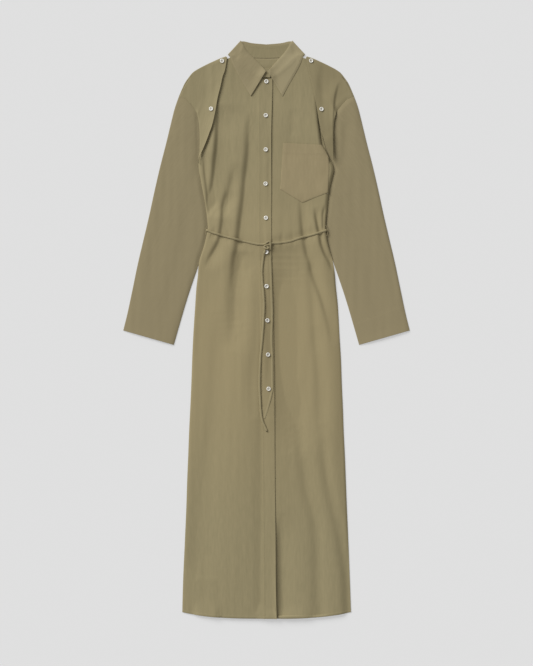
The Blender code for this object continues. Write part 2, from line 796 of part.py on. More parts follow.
def build_belt():
    """The tie belt: once round the waist, the knot and its two free tails."""
    left = strand(points_of(BELT_LEFT_RUN), FRONT_PIECES)
    right = strand(points_of(BELT_RIGHT_RUN), FRONT_PIECES)
    back = belt_back_path()
    turns = []
    for front_end, back_end, side in ((left[-1], back[0], 1), (right[-1], back[-1], -1)):
        x, y = side * BELT_SIDE.x * MM, BELT_SIDE.y * MM
        inner = x - side * 0.5 * MM
        high, low = front_end[2] - 0.4 * MM, back_end[2] + 0.7 * MM
        turns.append(np.array([(inner, y, high), (x, y, (high + low) / 2), (inner, y, low)]))
    waist = np.concatenate([left, turns[0], back, turns[1][::-1], right[::-1]])
    tube_object("belt_waist", waist, BELT_WIDTH, belt_cloth, BELT_PRESS)
    for name, turn, side, field in (
        ("belt_loop_left", turns[0], 1, "right"),
        ("belt_loop_right", turns[1], -1, "left"),
    ):
        seam = [interpolate(FRONT_SIDES, stitch.y * MM, field) for stitch in BELT_LOOP]
        bends = [(x + side * stitch.out * MM, stitch.y * MM) for x, stitch in zip(seam, BELT_LOOP)]
        flat = resampled(rounded(np.array(bends)), 9)
        loop = np.column_stack([flat, np.full(len(flat), turn[1, 2])])
        tube_object(name, loop, LOOP_WIDTH, belt_cloth)

    knot_height = float(on_top(points_of([KNOT]), FRONT_PIECES, 0.0)[0, 2])
    bpy.ops.mesh.primitive_uv_sphere_add(segments=14, ring_count=8, radius=0.5)
    knot = bpy.context.object
    knot.name = knot.data.name = "belt_knot"
    knot.scale = KNOT_SIZE
    knot.location = (KNOT.x * MM, KNOT.y * MM, knot_height + 0.5 * KNOT_SIZE[2])
    knot.data.materials.append(belt_cloth)
    knot.data.shade_smooth()
    for owner in list(knot.users_collection):
        owner.objects.unlink(knot)
    dress.objects.link(knot)

    long_tail = strand(points_of(LONG_TAIL), [*FRONT_PIECES, "covered_button"])
    tube_object("belt_tail_long", long_tail, BELT_WIDTH, belt_cloth, BELT_PRESS)
    short_tail = strand(points_of(SHORT_TAIL), FRONT_PIECES)
    tube_object("belt_tail_short", short_tail, BELT_WIDTH, belt_cloth, BELT_PRESS)


def button_profile():
    """Half of a button's section, from its sunk middle down its outer side to its centre."""
    half, height = BUTTON_WIDTH / 2, BUTTON_HEIGHT
    points = [(0, 0.66), (0.56, 0.66), (0.72, 1.0), (0.94, 0.86), (1.0, 0.45), (0.86, 0.0), (0, 0.0)]
    edges = [(i, i + 1) for i in range(len(points) - 1)]
    mesh = bpy.data.meshes.new("button")
    mesh.from_pydata([(x * half, 0, z * height) for x, z in points], edges, [])
    mesh.materials.append(shell)
    return mesh


def add_button(name, profile, x, y, over):
    """A button flat on the cloth, which may slope. Returns the height of its top."""
    surface = np.max([tops[piece] for piece in over], axis=0)
    shares = (-1.0, -0.5, 0.0, 0.5, 1.0)
    spots = np.array([(dx, dy) for dx in shares for dy in shares if math.hypot(dx, dy) < 1.2])
    spots *= BUTTON_WIDTH / 2
    z = read(surface, x + spots[:, 0], y + spots[:, 1])
    slope = np.linalg.lstsq(np.column_stack([spots, np.ones(len(spots))]), z, rcond=None)[0]
    rise = (z - spots @ slope[:2]).max()
    normal = Vector((-slope[0], -slope[1], 1.0)).normalized()
    button = bpy.data.objects.new(name, profile)
    button.location = (x, y, rise + CLEAR)
    button.rotation_euler = normal.to_track_quat("Z", "X").to_euler()
    dress.objects.link(button)
    turned = button.modifiers.new("turned", "SCREW")
    turned.steps = turned.render_steps = 12
    turned.use_merge_vertices = True
    turned.merge_threshold = 0.00001
    return rise + CLEAR + BUTTON_HEIGHT


def build_buttons():
    profile = button_profile()
    for number, drift in enumerate(BUTTON_DRIFT, 1):
        x, y = FIRST_BUTTON_X + drift * MM, FIRST_BUTTON_Y - (number - 1) * BUTTON_PITCH
        top = add_button(f"button_front_{number:02d}", profile, x, y, FRONT_PIECES)
        if number == COVERED_BUTTON:
            reach = (-BUTTON_WIDTH / 2, BUTTON_WIDTH / 2)
            square = [[(x + dx, y + dy, top) for dx in reach] for dy in reach]
            record_top("covered_button", np.array(square), 0.0)
    for spot in PANEL_BUTTONS:
        over = ["shoulder_panel_right", "shoulder_panel_left"]
        add_button(spot.node, profile, spot.x * MM, spot.y * MM, over)


for thing in list(bpy.data.objects):
    bpy.data.objects.remove(thing, do_unlink=True)
dress = bpy.data.collections.new("shirt_dress")
bpy.context.scene.collection.children.link(dress)
cloth = material("olive_cotton", OLIVE, 0.85)
belt_cloth = material("olive_cotton_belt", OLIVE_DARK, 0.85)
shell = material("shell_button", SHELL_WHITE, 0.3)

build_sleeve("sleeve_right", -1)
build_sleeve("sleeve_left", 1)
record_top("panel_under", hidden_panel(1))
record_top("panel_under", hidden_panel(-1))
record_top("collar_under", collar_under_grid())
record_belt()
build_back()
build_fronts()
build_placket()
build_pocket()
build_stand()
build_collar()
build_panel("shoulder_panel_right", -1, RIGHT_PANEL_EDGE)
build_panel("shoulder_panel_left", 1, LEFT_PANEL_EDGE)
build_buttons()
build_belt()
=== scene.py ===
import math
from collections import namedtuple

import bmesh
import bpy
import numpy as np
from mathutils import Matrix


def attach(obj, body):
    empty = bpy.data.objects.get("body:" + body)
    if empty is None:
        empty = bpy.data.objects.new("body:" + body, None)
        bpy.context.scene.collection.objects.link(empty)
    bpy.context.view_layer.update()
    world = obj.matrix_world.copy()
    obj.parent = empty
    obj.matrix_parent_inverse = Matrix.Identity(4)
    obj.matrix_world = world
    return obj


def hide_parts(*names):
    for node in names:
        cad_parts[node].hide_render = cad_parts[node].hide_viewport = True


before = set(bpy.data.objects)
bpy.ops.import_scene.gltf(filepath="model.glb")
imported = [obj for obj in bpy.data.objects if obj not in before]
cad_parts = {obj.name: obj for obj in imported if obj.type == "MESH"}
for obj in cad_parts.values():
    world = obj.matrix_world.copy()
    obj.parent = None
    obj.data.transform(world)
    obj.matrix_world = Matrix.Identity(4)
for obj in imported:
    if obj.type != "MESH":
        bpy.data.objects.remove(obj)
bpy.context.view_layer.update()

MM = 0.001

# ---------------------------------------------------------------------------
# The dress lies on a pale studio floor and is seen from straight above.
# A soft lamp stands to the upper left, and the room fills in the rest.
VIEW_LENGTH = 1598.4 * MM  # how much of the floor is in view, from top to bottom
VIEW_MIDDLE_Y = -8.4 * MM
LENS, SENSOR = 100, 36
LAMP_HEIGHT = 31  # degrees above the floor
LAMP_TURN = 135  # degrees from +X, towards +Y
LAMP_POWER, LAMP_WIDTH = 3.38, 32  # watts a square metre, and degrees across
ROOM_LIGHT = 0.378


def linked(name, data):
    """A new object in the scene."""
    made = bpy.data.objects.new(name, data)
    bpy.context.scene.collection.objects.link(made)
    return made


camera = linked("camera", bpy.data.cameras.new("camera"))
camera.data.lens = LENS
camera.data.sensor_width = SENSOR
camera.location = (0, VIEW_MIDDLE_Y, VIEW_LENGTH * LENS / SENSOR)
bpy.context.scene.camera = camera

lamp = linked("lamp", bpy.data.lights.new("lamp", "SUN"))
lamp.data.energy = LAMP_POWER
lamp.data.angle = math.radians(LAMP_WIDTH)
lamp.rotation_euler = (math.radians(90 - LAMP_HEIGHT), 0, math.radians(LAMP_TURN + 90))

room = bpy.data.worlds.new("room")
room.use_nodes = True
background = room.node_tree.nodes["Background"]
background.inputs["Strength"].default_value = ROOM_LIGHT
background.inputs["Color"].default_value = (1, 1, 1, 1)
bpy.context.scene.world = room
bpy.context.scene.view_settings.view_transform = "Standard"


def linear(hex_colour):
    """An sRGB hex colour as Blender's linear one."""
    channels = [int(hex_colour[i : i + 2], 16) / 255 for i in (1, 3, 5)]
    return tuple(c / 12.92 if c <= 0.04045 else ((c + 0.055) / 1.055) ** 2.4 for c in channels) + (1.0,)


def add_node(tree, kind, settings=None, links=None):
    """Adds a node. settings name its own values or its inputs', and links the sockets that feed it."""
    node = tree.nodes.new(kind)
    for key, value in (settings or {}).items():
        if isinstance(key, str) and hasattr(node, key):
            setattr(node, key, value)
        else:
            node.inputs[key].default_value = value
    for key, socket in (links or {}).items():
        tree.links.new(socket, node.inputs[key])
    return node


def finish_material(name, values):
    """A material with only its Principled shader, set to these values, and the tree to add to."""
    made = bpy.data.materials.new(name)
    made.use_nodes = True
    shader = made.node_tree.nodes["Principled BSDF"]
    for label, value in values.items():
        shader.inputs[label].default_value = value
    return made, made.node_tree, shader


def bumped(tree, shader, height, strength, distance):
    """Raises a material's surface by a height socket."""
    bump = add_node(tree, "ShaderNodeBump", {"Strength": strength, "Distance": distance}, {"Height": height})
    tree.links.new(bump.outputs["Normal"], shader.inputs["Normal"])


def mesh_of(shape, name):
    """The mesh of a finished shape."""
    data = bpy.data.meshes.new(name)
    shape.to_mesh(data)
    shape.free()
    return data


# A matt acrylic board, lit from below: no gloss, and what lies on it casts only a faint shadow.
FLOOR_REACH, FLOOR_DROP = 9.0, 0.3 * MM
board, tree, shader = finish_material(
    "lit_acrylic_board",
    {
        "Base Color": linear("#9c9c9c"),
        "Emission Color": (1, 1, 1, 1),
        "Emission Strength": 0.43,
        "Roughness": 0.95,
        "Specular IOR Level": 0.1,
    },
)
place = add_node(tree, "ShaderNodeTexCoord")
grain = add_node(tree, "ShaderNodeTexNoise", {"Scale": 30.0}, {"Vector": place.outputs["Object"]})
bumped(tree, shader, grain.outputs["Fac"], 0.05, 0.5 * MM)
shape = bmesh.new()
bmesh.ops.create_grid(shape, x_segments=4, y_segments=4, size=FLOOR_REACH)
bmesh.ops.translate(shape, verts=shape.verts, vec=(0, 0, -FLOOR_DROP))
floor = linked("floor", mesh_of(shape, "floor"))
floor.data.materials.append(board)

# ---------------------------------------------------------------------------
# The cloth: a plain-woven washed cotton in olive khaki. Its yarns are uneven, so it has
# fine streaks along both threads, and washing has left it slightly crinkled.
THREAD = 1.1 * MM  # drawn coarser than real yarns, so that it shows
SLUB, WEFT, CRINKLE = (4.6 * MM, 30 * MM), (30 * MM, 2.2 * MM), (13 * MM, 90 * MM)  # a streak's width, length
CLOTH_TONES = ("#887f60", "#988c6b", "#998b68")  # of a streak, between streaks, and the painted tone mixed in at one place
# The sleeves' cloth is a darker copy of the same cloth: painted shade, for how their crosswise threads catch
# less of the lamp.
SLEEVE_SHADED_TONES = ("#897e60", "#948869", "#8f8365")
POCKET_TONES = ("#8f8263", "#9d8f6e", "#9e906d")
COLLAR_TONES = ("#8b8062", "#998d6d", "#9d9272")
PANEL_TONES = ("#887f60", "#988c6b", "#887d5e")
PAINTED_TONE_PLACE = ("Y", -20 * MM, 560 * MM)  # where the painted tone is mixed in, and how far: painted light that makes the middle of the dress lighter; on the sleeves it makes them darker towards the cuffs
COLLAR_PAINTED_LIGHT = ("X", 60 * MM, 90 * MM)  # painted light on the wearer's left leaf of the collar, which is lighter
PANEL_PAINTED_SHADE = ("X", 150 * MM, 90 * MM)  # painted shade on the wearer's left shoulder panel, which is darker
PAINTED_TONE_SHARE = 0.75
LAYERS = {"slubs": 0.45, "weft": 0.10, "yarns": 0.10}  # how high each stands, as a share of the crinkles
CLOTH_BUMP = 0.16 * MM


def cotton(name, dark, light, painted_tone, where=PAINTED_TONE_PLACE):
    """The cloth's material, with a painted tone mixed in towards one height or place, which paints light
    there on some pieces and shade on others. It follows the uv map named grain, which is in metres along its
    threads."""
    made, tree, shader = finish_material(
        name,
        {
            "Roughness": 0.88,
            "Specular IOR Level": 0.25,
            "Sheen Weight": 0.12,
            "Sheen Roughness": 0.55,
            "Sheen Tint": linear("#cfc7a6"),
        },
    )
    grain = add_node(tree, "ShaderNodeUVMap", {"uv_map": "grain"})
    split = add_node(tree, "ShaderNodeSeparateXYZ", links={0: grain.outputs["UV"]})

    def streaks(width, length, detail):
        """Noise that is drawn out along the second thread."""
        across = add_node(tree, "ShaderNodeMath", {"operation": "DIVIDE", 1: width}, {0: split.outputs["X"]})
        along = add_node(tree, "ShaderNodeMath", {"operation": "DIVIDE", 1: length}, {0: split.outputs["Y"]})
        at = add_node(tree, "ShaderNodeCombineXYZ", links={0: across.outputs[0], 1: along.outputs[0]})
        settings = {"Scale": 1.0, "Detail": detail}
        return add_node(tree, "ShaderNodeTexNoise", settings, {"Vector": at.outputs[0]}).outputs["Fac"]

    layers = {"slubs": streaks(*SLUB, 2.0), "weft": streaks(*WEFT, 1.0)}
    height = streaks(*CRINKLE, 3.0)
    layers["yarns"] = streaks(THREAD, 3 * THREAD, 0.0)
    settings = {"data_type": "RGBA", 6: linear(dark), 7: linear(light)}
    tone = add_node(tree, "ShaderNodeMix", settings, {0: layers["slubs"]})
    place = add_node(tree, "ShaderNodeTexCoord")
    at = add_node(tree, "ShaderNodeSeparateXYZ", links={0: place.outputs["Object"]})
    # The painted tone paints light on some pieces and shade on others: it is mixed in most at the given
    # place, and not at all beyond its reach.
    axis, middle, reach = where
    far = add_node(tree, "ShaderNodeMath", {"operation": "SUBTRACT", 1: middle}, {0: at.outputs[axis]})
    far = add_node(tree, "ShaderNodeMath", {"operation": "ABSOLUTE"}, {0: far.outputs[0]})
    settings = {"interpolation_type": "SMOOTHSTEP", 1: 0.0, 2: reach, 3: PAINTED_TONE_SHARE, 4: 0.0}
    fade = add_node(tree, "ShaderNodeMapRange", settings, {0: far.outputs[0]})
    settings = {"data_type": "RGBA", 7: linear(painted_tone)}
    washed = add_node(tree, "ShaderNodeMix", settings, {0: fade.outputs[0], 6: tone.outputs[2]})
    tree.links.new(washed.outputs[2], shader.inputs["Base Color"])
    for layer, share in LAYERS.items():
        settings = {"operation": "MULTIPLY_ADD", 1: share}
        height = add_node(tree, "ShaderNodeMath", settings, {0: layers[layer], 2: height}).outputs[0]
    bumped(tree, shader, height, 1.0, CLOTH_BUMP)
    return made


# The body's cloth is painted lighter over its middle, the sleeves' is a darker copy for painted shade, the
# collar's has painted light on one leaf, and the panels' has painted shade on one shoulder.
cloth = cotton("washed_olive_cotton", *CLOTH_TONES)
shaded_sleeve_cloth = cotton("washed_olive_cotton_sleeve_painted_shade", *SLEEVE_SHADED_TONES)
pocket_cloth = cotton("washed_olive_cotton_pocket", *POCKET_TONES)
collar_cloth = cotton("washed_olive_cotton_collar_painted_light", *COLLAR_TONES, COLLAR_PAINTED_LIGHT)
panel_cloth = cotton("washed_olive_cotton_panel_painted_shade", *PANEL_TONES, PANEL_PAINTED_SHADE)

# How the cloth lies. Each piece is a grid of points between its edges. Its heights come from
# a raster of what lies below it, bridged by the cloth's stiffness, and from its own folds.
CLOTH = 0.5 * MM  # what one layer of cloth takes up
CLEAR = 0.12 * MM  # between what lies on each other
CELL = 2 * MM
EAST = np.arange(-180, 181) * CELL
NORTH = np.arange(-360, 361) * CELL
tops = {"floor": np.full((len(EAST), len(NORTH)), -CLEAR)}


def smooth(points, per_span=8):
    """A smooth curve through points (Catmull-Rom)."""
    points = np.asarray(points, float)
    ends = [2 * points[0] - points[1], *points, 2 * points[-1] - points[-2]]
    curve = []
    for a, b, c, d in zip(ends, ends[1:], ends[2:], ends[3:]):
        bend, twist = 2 * a - 5 * b + 4 * c - d, 3 * b - a - 3 * c + d
        for t in np.arange(per_span) / per_span:
            curve.append(b + 0.5 * ((c - a) * t + bend * t**2 + twist * t**3))
    return np.array([*curve, points[-1]])


def shares_along(points):
    """How far along the line through points each one lies, from 0 to 1."""
    along = np.concatenate([[0], np.cumsum(np.linalg.norm(np.diff(points, axis=0), axis=1))])
    return along / along[-1]


def sampled(points, shares):
    """The points at these shares of the length of the line through points."""
    points = np.asarray(points, float)
    return np.stack([np.interp(shares, shares_along(points), column) for column in points.T], axis=1)


def on_side(points, side):
    """Millimetre points in metres; side -1 mirrors them."""
    return np.array(points) * (side * MM, MM)


def edge_curve(points, count, side=1):
    """count points evenly along the smooth curve through millimetre points; side -1 mirrors it."""
    return sampled(smooth(on_side(points, side)), np.linspace(0, 1, count))


def ruled(start, end, columns):
    """Lines with this many points between the matching points of two edges."""
    share = np.linspace(0, 1, columns)[None, :, None]
    return start[:, None] * (1 - share) + end[:, None] * share


def stamp(name, grid, rise=CLOTH / 2):
    """Adds a piece's upper face to the raster of its name."""
    raster = tops.setdefault(name, np.full((len(EAST), len(NORTH)), -1.0))
    fine = grid
    for axis in (0, 1):
        steps = np.linalg.norm(np.diff(fine, axis=axis), axis=2).max()
        count = (fine.shape[axis] - 1) * max(1, math.ceil(steps / (0.7 * CELL))) + 1
        at = np.linspace(0, fine.shape[axis] - 1, count)
        low = np.minimum(at.astype(int), fine.shape[axis] - 2)
        part = (at - low).reshape((-1, 1, 1) if axis == 0 else (1, -1, 1))
        fine = fine.take(low, axis) * (1 - part) + fine.take(low + 1, axis) * part
    i = np.clip(np.rint((fine[..., 0] - EAST[0]) / CELL).astype(int), 0, len(EAST) - 1)
    j = np.clip(np.rint((fine[..., 1] - NORTH[0]) / CELL).astype(int), 0, len(NORTH) - 1)
    np.maximum.at(raster, (i, j), fine[..., 2] + rise)


def moved(raster):
    """The raster moved by one cell in each of the eight directions, with how far that is."""
    wide = np.pad(raster, 1, mode="edge")
    for i in (0, 1, 2):
        for j in (0, 1, 2):
            if (i, j) != (1, 1):
                yield math.hypot(i - 1, j - 1), wide[i : i + raster.shape[0], j : j + raster.shape[1]]


def bridged(names, steepest=0.2, reach=40 * MM, passes=6):
    """What a cloth over these pieces rests on: it leaves each step in them at this slope, over this
    reach, and is softened by these passes."""
    surface = np.max([tops[name] for name in ("floor", *names)], axis=0)
    surface = np.max([surface, *(near for _, near in moved(surface))], axis=0)
    grown = surface.copy()
    for _ in range(int(reach / CELL)):
        grown = np.max([grown, *(near - steepest * CELL * far for far, near in moved(grown))], axis=0)
    for _ in range(passes):
        grown = np.mean([grown, *(near for _, near in moved(grown))], axis=0)
    return np.maximum(grown, surface)


def read(raster, points):
    """The raster's heights at these points, between its cells."""
    u = np.clip((points[..., 0] - EAST[0]) / CELL, 0, len(EAST) - 1.001)
    v = np.clip((points[..., 1] - NORTH[0]) / CELL, 0, len(NORTH) - 1.001)
    i, j = u.astype(int), v.astype(int)
    u, v = u - i, v - j
    low = raster[i, j] * (1 - u) + raster[i + 1, j] * u
    high = raster[i, j + 1] * (1 - u) + raster[i + 1, j + 1] * u
    return low * (1 - v) + high * v


Crease = namedtuple("Crease", "path depth west east fade_in fade_out", defaults=(0.25, 0.25))
STEEPEST_PART = 0.7  # where a crease's side is steepest, as a share of its width
CREASE_REACH = 3.4  # beyond this many widths a crease is too shallow to matter
WAVES = 14


def crease_depth(x, y, creases):
    """How far below the smooth cloth each point lies. Each crease is depth mm deep (less than 0 for a
    ridge), and its two sides are west and east mm wide. Its path, in mm, runs downwards where the west
    side is steepest. It fades in and out over these shares of its length."""
    total = np.zeros(x.shape)
    for crease in creases:
        line = smooth(np.array(crease.path) * MM, 10)
        toward = np.gradient(line, axis=0)
        toward /= np.linalg.norm(toward, axis=1)[:, None]
        reach = CREASE_REACH * max(crease.west, crease.east) * MM
        (x0, y0), (x1, y1) = line.min(0) - reach, line.max(0) + reach
        near = (x > x0) & (x < x1) & (y > y0) & (y < y1)
        if not near.any():
            continue
        dx, dy = x[near][:, None] - line[:, 0], y[near][:, None] - line[:, 1]
        nearest = (dx**2 + dy**2).argmin(1)
        row = np.arange(len(nearest))
        dx, dy = dx[row, nearest], dy[row, nearest]
        side = toward[nearest, 0] * dy - toward[nearest, 1] * dx - STEEPEST_PART * crease.west * MM
        along = toward[nearest, 0] * dx + toward[nearest, 1] * dy
        at_end = (nearest == 0) | (nearest == len(line) - 1)
        away = np.where(at_end, np.hypot(side, along), np.abs(side))
        share = shares_along(line)[nearest]
        fade = np.clip(share / crease.fade_in, 0, 1) * np.clip((1 - share) / crease.fade_out, 0, 1)
        width = np.where(side < 0, crease.west, crease.east) * MM
        total[near] += crease.depth * MM * np.sin(fade * math.pi / 2) * np.exp(-((away / width) ** 2))
    return total


def ripple(x, y, seed, size=0.10 * MM):
    """The slow unevenness that washing leaves, mostly in waves across the lengthwise thread."""
    dice = np.random.default_rng(seed)
    total = np.zeros(x.shape)
    for _ in range(WAVES):
        across, along = dice.uniform(14, 50) * MM, dice.uniform(220, 900) * MM
        sign, phase = dice.choice([-1, 1]), dice.uniform(0, 2 * math.pi)
        total += np.sin(2 * math.pi * (x / across + sign * y / along) + phase)
    return size * total / math.sqrt(WAVES)


def with_close_edges(grid, inset=0.6 * MM):
    """The grid with one more line of points close inside each edge, so that only the edge is rounded."""
    for axis in (0, 1):
        lines = np.moveaxis(grid, axis, 0)
        close = []
        for edge, near in ((lines[0], lines[1]), (lines[-1], lines[-2])):
            step = np.linalg.norm((near - edge)[..., :3], axis=-1).mean()
            close.append(edge + (near - edge) * min(0.4, inset / step))
        grid = np.moveaxis(np.stack([lines[0], close[0], *lines[1:-1], close[1], lines[-1]]), 0, axis)
    return grid


def corners_of(grid):
    """The four corners of each cell of a grid."""
    return np.stack([grid[:-1, :-1], grid[:-1, 1:], grid[1:, 1:], grid[1:, :-1]], 2)


def cloth_mesh(name, points, faces, grain, look):
    """A smooth mesh. grain is how far along the threads each corner of its faces is."""
    data = bpy.data.meshes.new(name)
    data.from_pydata(points.reshape(-1, 3).tolist(), [], faces)
    data.uv_layers.new(name="grain").data.foreach_set("uv", grain.astype(np.float32).ravel())
    shape = bmesh.new()
    shape.from_mesh(data)
    bmesh.ops.recalc_face_normals(shape, faces=shape.faces)
    shape.to_mesh(data)
    shape.free()
    data.shade_smooth()
    data.materials.append(look)
    return data


def in_place(piece, slot, *nodes):
    """Puts a piece on the dress's one body, in place of these nodes of the frame."""
    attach(piece, "root")
    if nodes:
        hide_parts(*nodes)
    return piece


def cloth_piece(name, grid, grain, look=cloth, thickness=CLOTH, closed=False):
    """A grid of points on the middle of a cloth as a solid shell, in place of the node of its name."""
    corner = np.asarray(grain)[..., :2]
    if not closed:
        both = with_close_edges(np.dstack([grid, corner]))
        grid, corner = both[..., :3], both[..., 3:]
    number = np.arange(grid.shape[0] * grid.shape[1]).reshape(grid.shape[:2])
    if closed:
        number = np.concatenate([number, number[:, :1]], axis=1)
    faces = corners_of(number).reshape(-1, 4).tolist()
    piece = linked(name, cloth_mesh(name, grid, faces, corners_of(corner), look))
    wall = piece.modifiers.new("wall", "SOLIDIFY")
    wall.thickness = thickness
    wall.offset = 0.0
    return in_place(piece, "cloth", name)


# ---------------------------------------------------------------------------
# The sleeves: long straight tubes with a deep plain hem, pressed flat on the floor. Each is
# sewn to the shoulder panel at the armhole. The +X side is given, and the other mirrors it.
ARMHOLE = [(210, 559), (193, 552), (181, 539), (167, 521), (140, 480), (110, 435), (80, 394)]
SLEEVE_OUTER = [
    (210, 559), (219.5, 532), (227, 503), (241, 445), (255.6, 388), (269, 330), (281.5, 272),
    (295, 215), (308.6, 157), (320.4, 100), (332.6, 42), (343.5, -2.5),
]
SLEEVE_INNER = [(80, 394), (120, 280), (161, 160), (191, 71), (222.5, -37)]
# The sides of the fronts, which lie on the sleeves: height, wearer's right side, left side.
FRONT_SIDES = [
    (632, -131, 128), (599, -131, 122), (551, -133, 120), (508, -140, 124), (475, -148, 128.5),
    (440, -157, 134), (412, -163, 147), (388, -162.5, 161), (360, -158, 156.5), (332, -153, 150),
    (310, -148.6, 147.6), (287, -145, 145.4), (266, -142.5, 142.8), (244, -140.6, 141.2),
    (226, -143.5, 143.4), (208, -147.6, 146.6), (190, -153, 152), (169, -159.8, 158),
    (150, -163, 161.6), (128, -164.6, 164.4), (100, -168, 166.6), (56, -171, 171.2),
    (-16, -175.6, 175.2), (-73, -178.2, 178.6), (-131, -180.2, 180.6), (-188, -182.8, 183.2),
    (-246, -185.6, 185.2), (-304, -187.8, 188), (-361, -190.2, 190.2), (-419, -192, 192.4),
    (-476, -194.4, 194.9), (-534, -197, 197.4), (-592, -199.6, 199.7), (-650, -201.4, 201.8),
    (-700, -202.2, 203.4),
]
SLEEVE_ROWS, SLEEVE_COLUMNS = 150, 60
SLEEVE_PUFF = 2.2 * MM  # how far the upper layer stands off between the pressed edges
PRESSED = (18 * MM, 5 * MM)  # how far in from its west and east edges it has risen by most of that
COVERED = 12 * MM  # the body presses it flat, and this far outside the body it is free again
UNCOVERED_Y = 100 * MM  # below this, no part of the body lies on it
CUFF_HEM, HEM_RISE = 65 * MM, 0.22 * MM
MOUTH_RISE, MOUTH_REACH = 0.8 * MM, 14 * MM  # the cuff's mouth stands open a little
SLEEVE_CREASES = {
    "left": [
        Crease([(236, 470), (262, 330), (287, 190), (306, 70)], 0.8, 14, 26),
        Crease([(196, 330), (222, 210), (240, 110), (262, 0)], 0.6, 14, 22),
        Crease([(183, 500), (182, 440), (178, 390)], 0.8, 7, 16),
        Crease([(176, 330), (186, 260), (200, 190)], 0.5, 9, 18),
        Crease(
            [(247, 388), (260.5, 330), (273, 272), (286.5, 215), (300, 157), (312, 100), (324, 42)],
            -1.3, 9, 3,
        ),
    ],
    "right": [
        Crease([(-232, 470), (-256, 330), (-280, 190), (-296, 80)], 0.9, 16, 24),
        Crease([(-190, 330), (-214, 200), (-236, 110), (-252, 20)], 0.5, 14, 20),
        Crease([(-188, 520), (-180, 470), (-176, 400), (-180, 340)], 0.7, 12, 12),
        Crease([(-171, 545), (-168.5, 520), (-167, 480), (-166, 440), (-166, 400)], 3.4, 4.5, 9, 0.25, 0.4),
    ],
}


def smooth_step(value):
    """From 0 to 1, softly at both ends."""
    value = np.clip(value, 0, 1)
    return value * value * (3 - 2 * value)


def column(table, field):
    """A column of a table of (y, left, right) as a smooth function of y, in metres."""
    curve = smooth(sorted((row[0], row[field]) for row in table)) * MM
    return lambda y: np.interp(y, curve[:, 0], curve[:, 1])


def sleeve_grid(side, creases, seed):
    """Closed rings from the armhole to the cuff: the lower layer, then back over the upper one."""
    outer = edge_curve(SLEEVE_OUTER, SLEEVE_ROWS, side)
    inner = edge_curve(SLEEVE_INNER, SLEEVE_ROWS, side)
    share = np.linspace(0, 1, SLEEVE_ROWS)[:, None]
    lines = ruled(outer, inner, SLEEVE_COLUMNS)
    seam = sampled(on_side(ARMHOLE, side), np.linspace(0, 1, SLEEVE_COLUMNS))
    bend = seam - ruled(seam[:1], seam[-1:], SLEEVE_COLUMNS)[0]
    lines += bend * (np.clip(1 - share * 5, 0, 1) ** 1.5)[..., None]
    x, y = lines[..., 0], lines[..., 1]
    across = np.linspace(0, 1, SLEEVE_COLUMNS)[None]
    width = np.linalg.norm(outer - inner, axis=1)[:, None]
    length = np.linalg.norm(np.diff(outer, axis=0), axis=1).sum()
    west, east = (across, 1 - across) if side < 0 else (1 - across, across)
    body = side * column(FRONT_SIDES, 1 if side < 0 else 2)(y)
    free = np.where(y > UNCOVERED_Y, smooth_step((np.abs(x) - body) / COVERED + 0.1), 1)
    free = free * (0.25 + 0.75 * smooth_step(share / 0.016))
    lift = SLEEVE_PUFF * (1 - np.exp(-west * width / PRESSED[0]))
    lift = lift * (1 - np.exp(-east * width / PRESSED[1])) * free
    lift += ripple(x, y, seed) - crease_depth(x, y, creases) * free
    from_cuff = (1 - share) * length
    hem = HEM_RISE * smooth_step((CUFF_HEM - from_cuff) / (3 * MM))
    mouth = MOUTH_RISE * np.exp(-((from_cuff / MOUTH_REACH) ** 2)) * np.sin(math.pi * across)
    upper = np.dstack([lines, 1.5 * CLOTH + CLEAR + np.maximum(lift, 0) + hem + mouth])
    lower = with_close_edges(np.dstack([lines, np.full(x.shape, CLOTH / 2)]))
    return np.concatenate([lower[:, 1:-1], with_close_edges(upper)[:, ::-1]], axis=1), upper


def across_and_along(grid, turned=False):
    """Each point's distance along its row and along its column, in metres, for the weave."""
    steps = np.linalg.norm(np.diff(grid, axis=1), axis=2)
    across = np.concatenate([np.zeros((len(grid), 1)), np.cumsum(steps, axis=1)], axis=1)
    middle = grid[:, grid.shape[1] // 2]
    down = np.concatenate([[0], np.cumsum(np.linalg.norm(np.diff(middle, axis=0), axis=1))])
    along = np.repeat(down[:, None], grid.shape[1], axis=1)
    return np.dstack([along, across] if turned else [across, along])


uppers = {}
for hand, side, seed in (("right", -1, 11), ("left", 1, 12)):
    rings, upper = sleeve_grid(side, SLEEVE_CREASES[hand], seed)
    uppers[f"sleeve_{hand}"] = upper
    stamp("sleeves", upper)
    grain = across_and_along(np.concatenate([rings, rings[:, :1]], axis=1))
    sleeve = cloth_piece(f"sleeve_{hand}", rings, grain, shaded_sleeve_cloth, closed=True)

# ---------------------------------------------------------------------------
# What lies under the back: the backs of the shoulder panels, the back of the collar's fall,
# and the belt on its way round. They are built with their own pieces, further on.
SHOULDER_FOLD = [
    (97, 655), (109, 651), (121, 646), (151, 632), (175, 618), (187, 604), (196, 591), (203, 576),
    (210, 559.5),
]
HIDDEN_PANEL_EDGE = [(92, 652), (86, 560), (80, 396)]
SEAM_GAP = -0.5 * MM  # less than 0: the panels lap over the sleeves
PANEL_COLUMNS, HIDDEN_ROWS = 40, 50
COLLAR_CLOTH = 1.0 * MM
NECK_ROWS, STAND_COLUMNS = 18, 14
COLLAR_BACK = [(60, 691.2, 90, 656), (52, 691, 72, 641), (34, 687, 52, 638), (0, 684, 0, 636)]
BELT_BACK_RUN = [(143.6, 238), (137, 236), (122, 234), (60, 228), (0, 226)]
BELT_WIDTH, BELT_HEIGHT = 5.2 * MM, 2.4 * MM


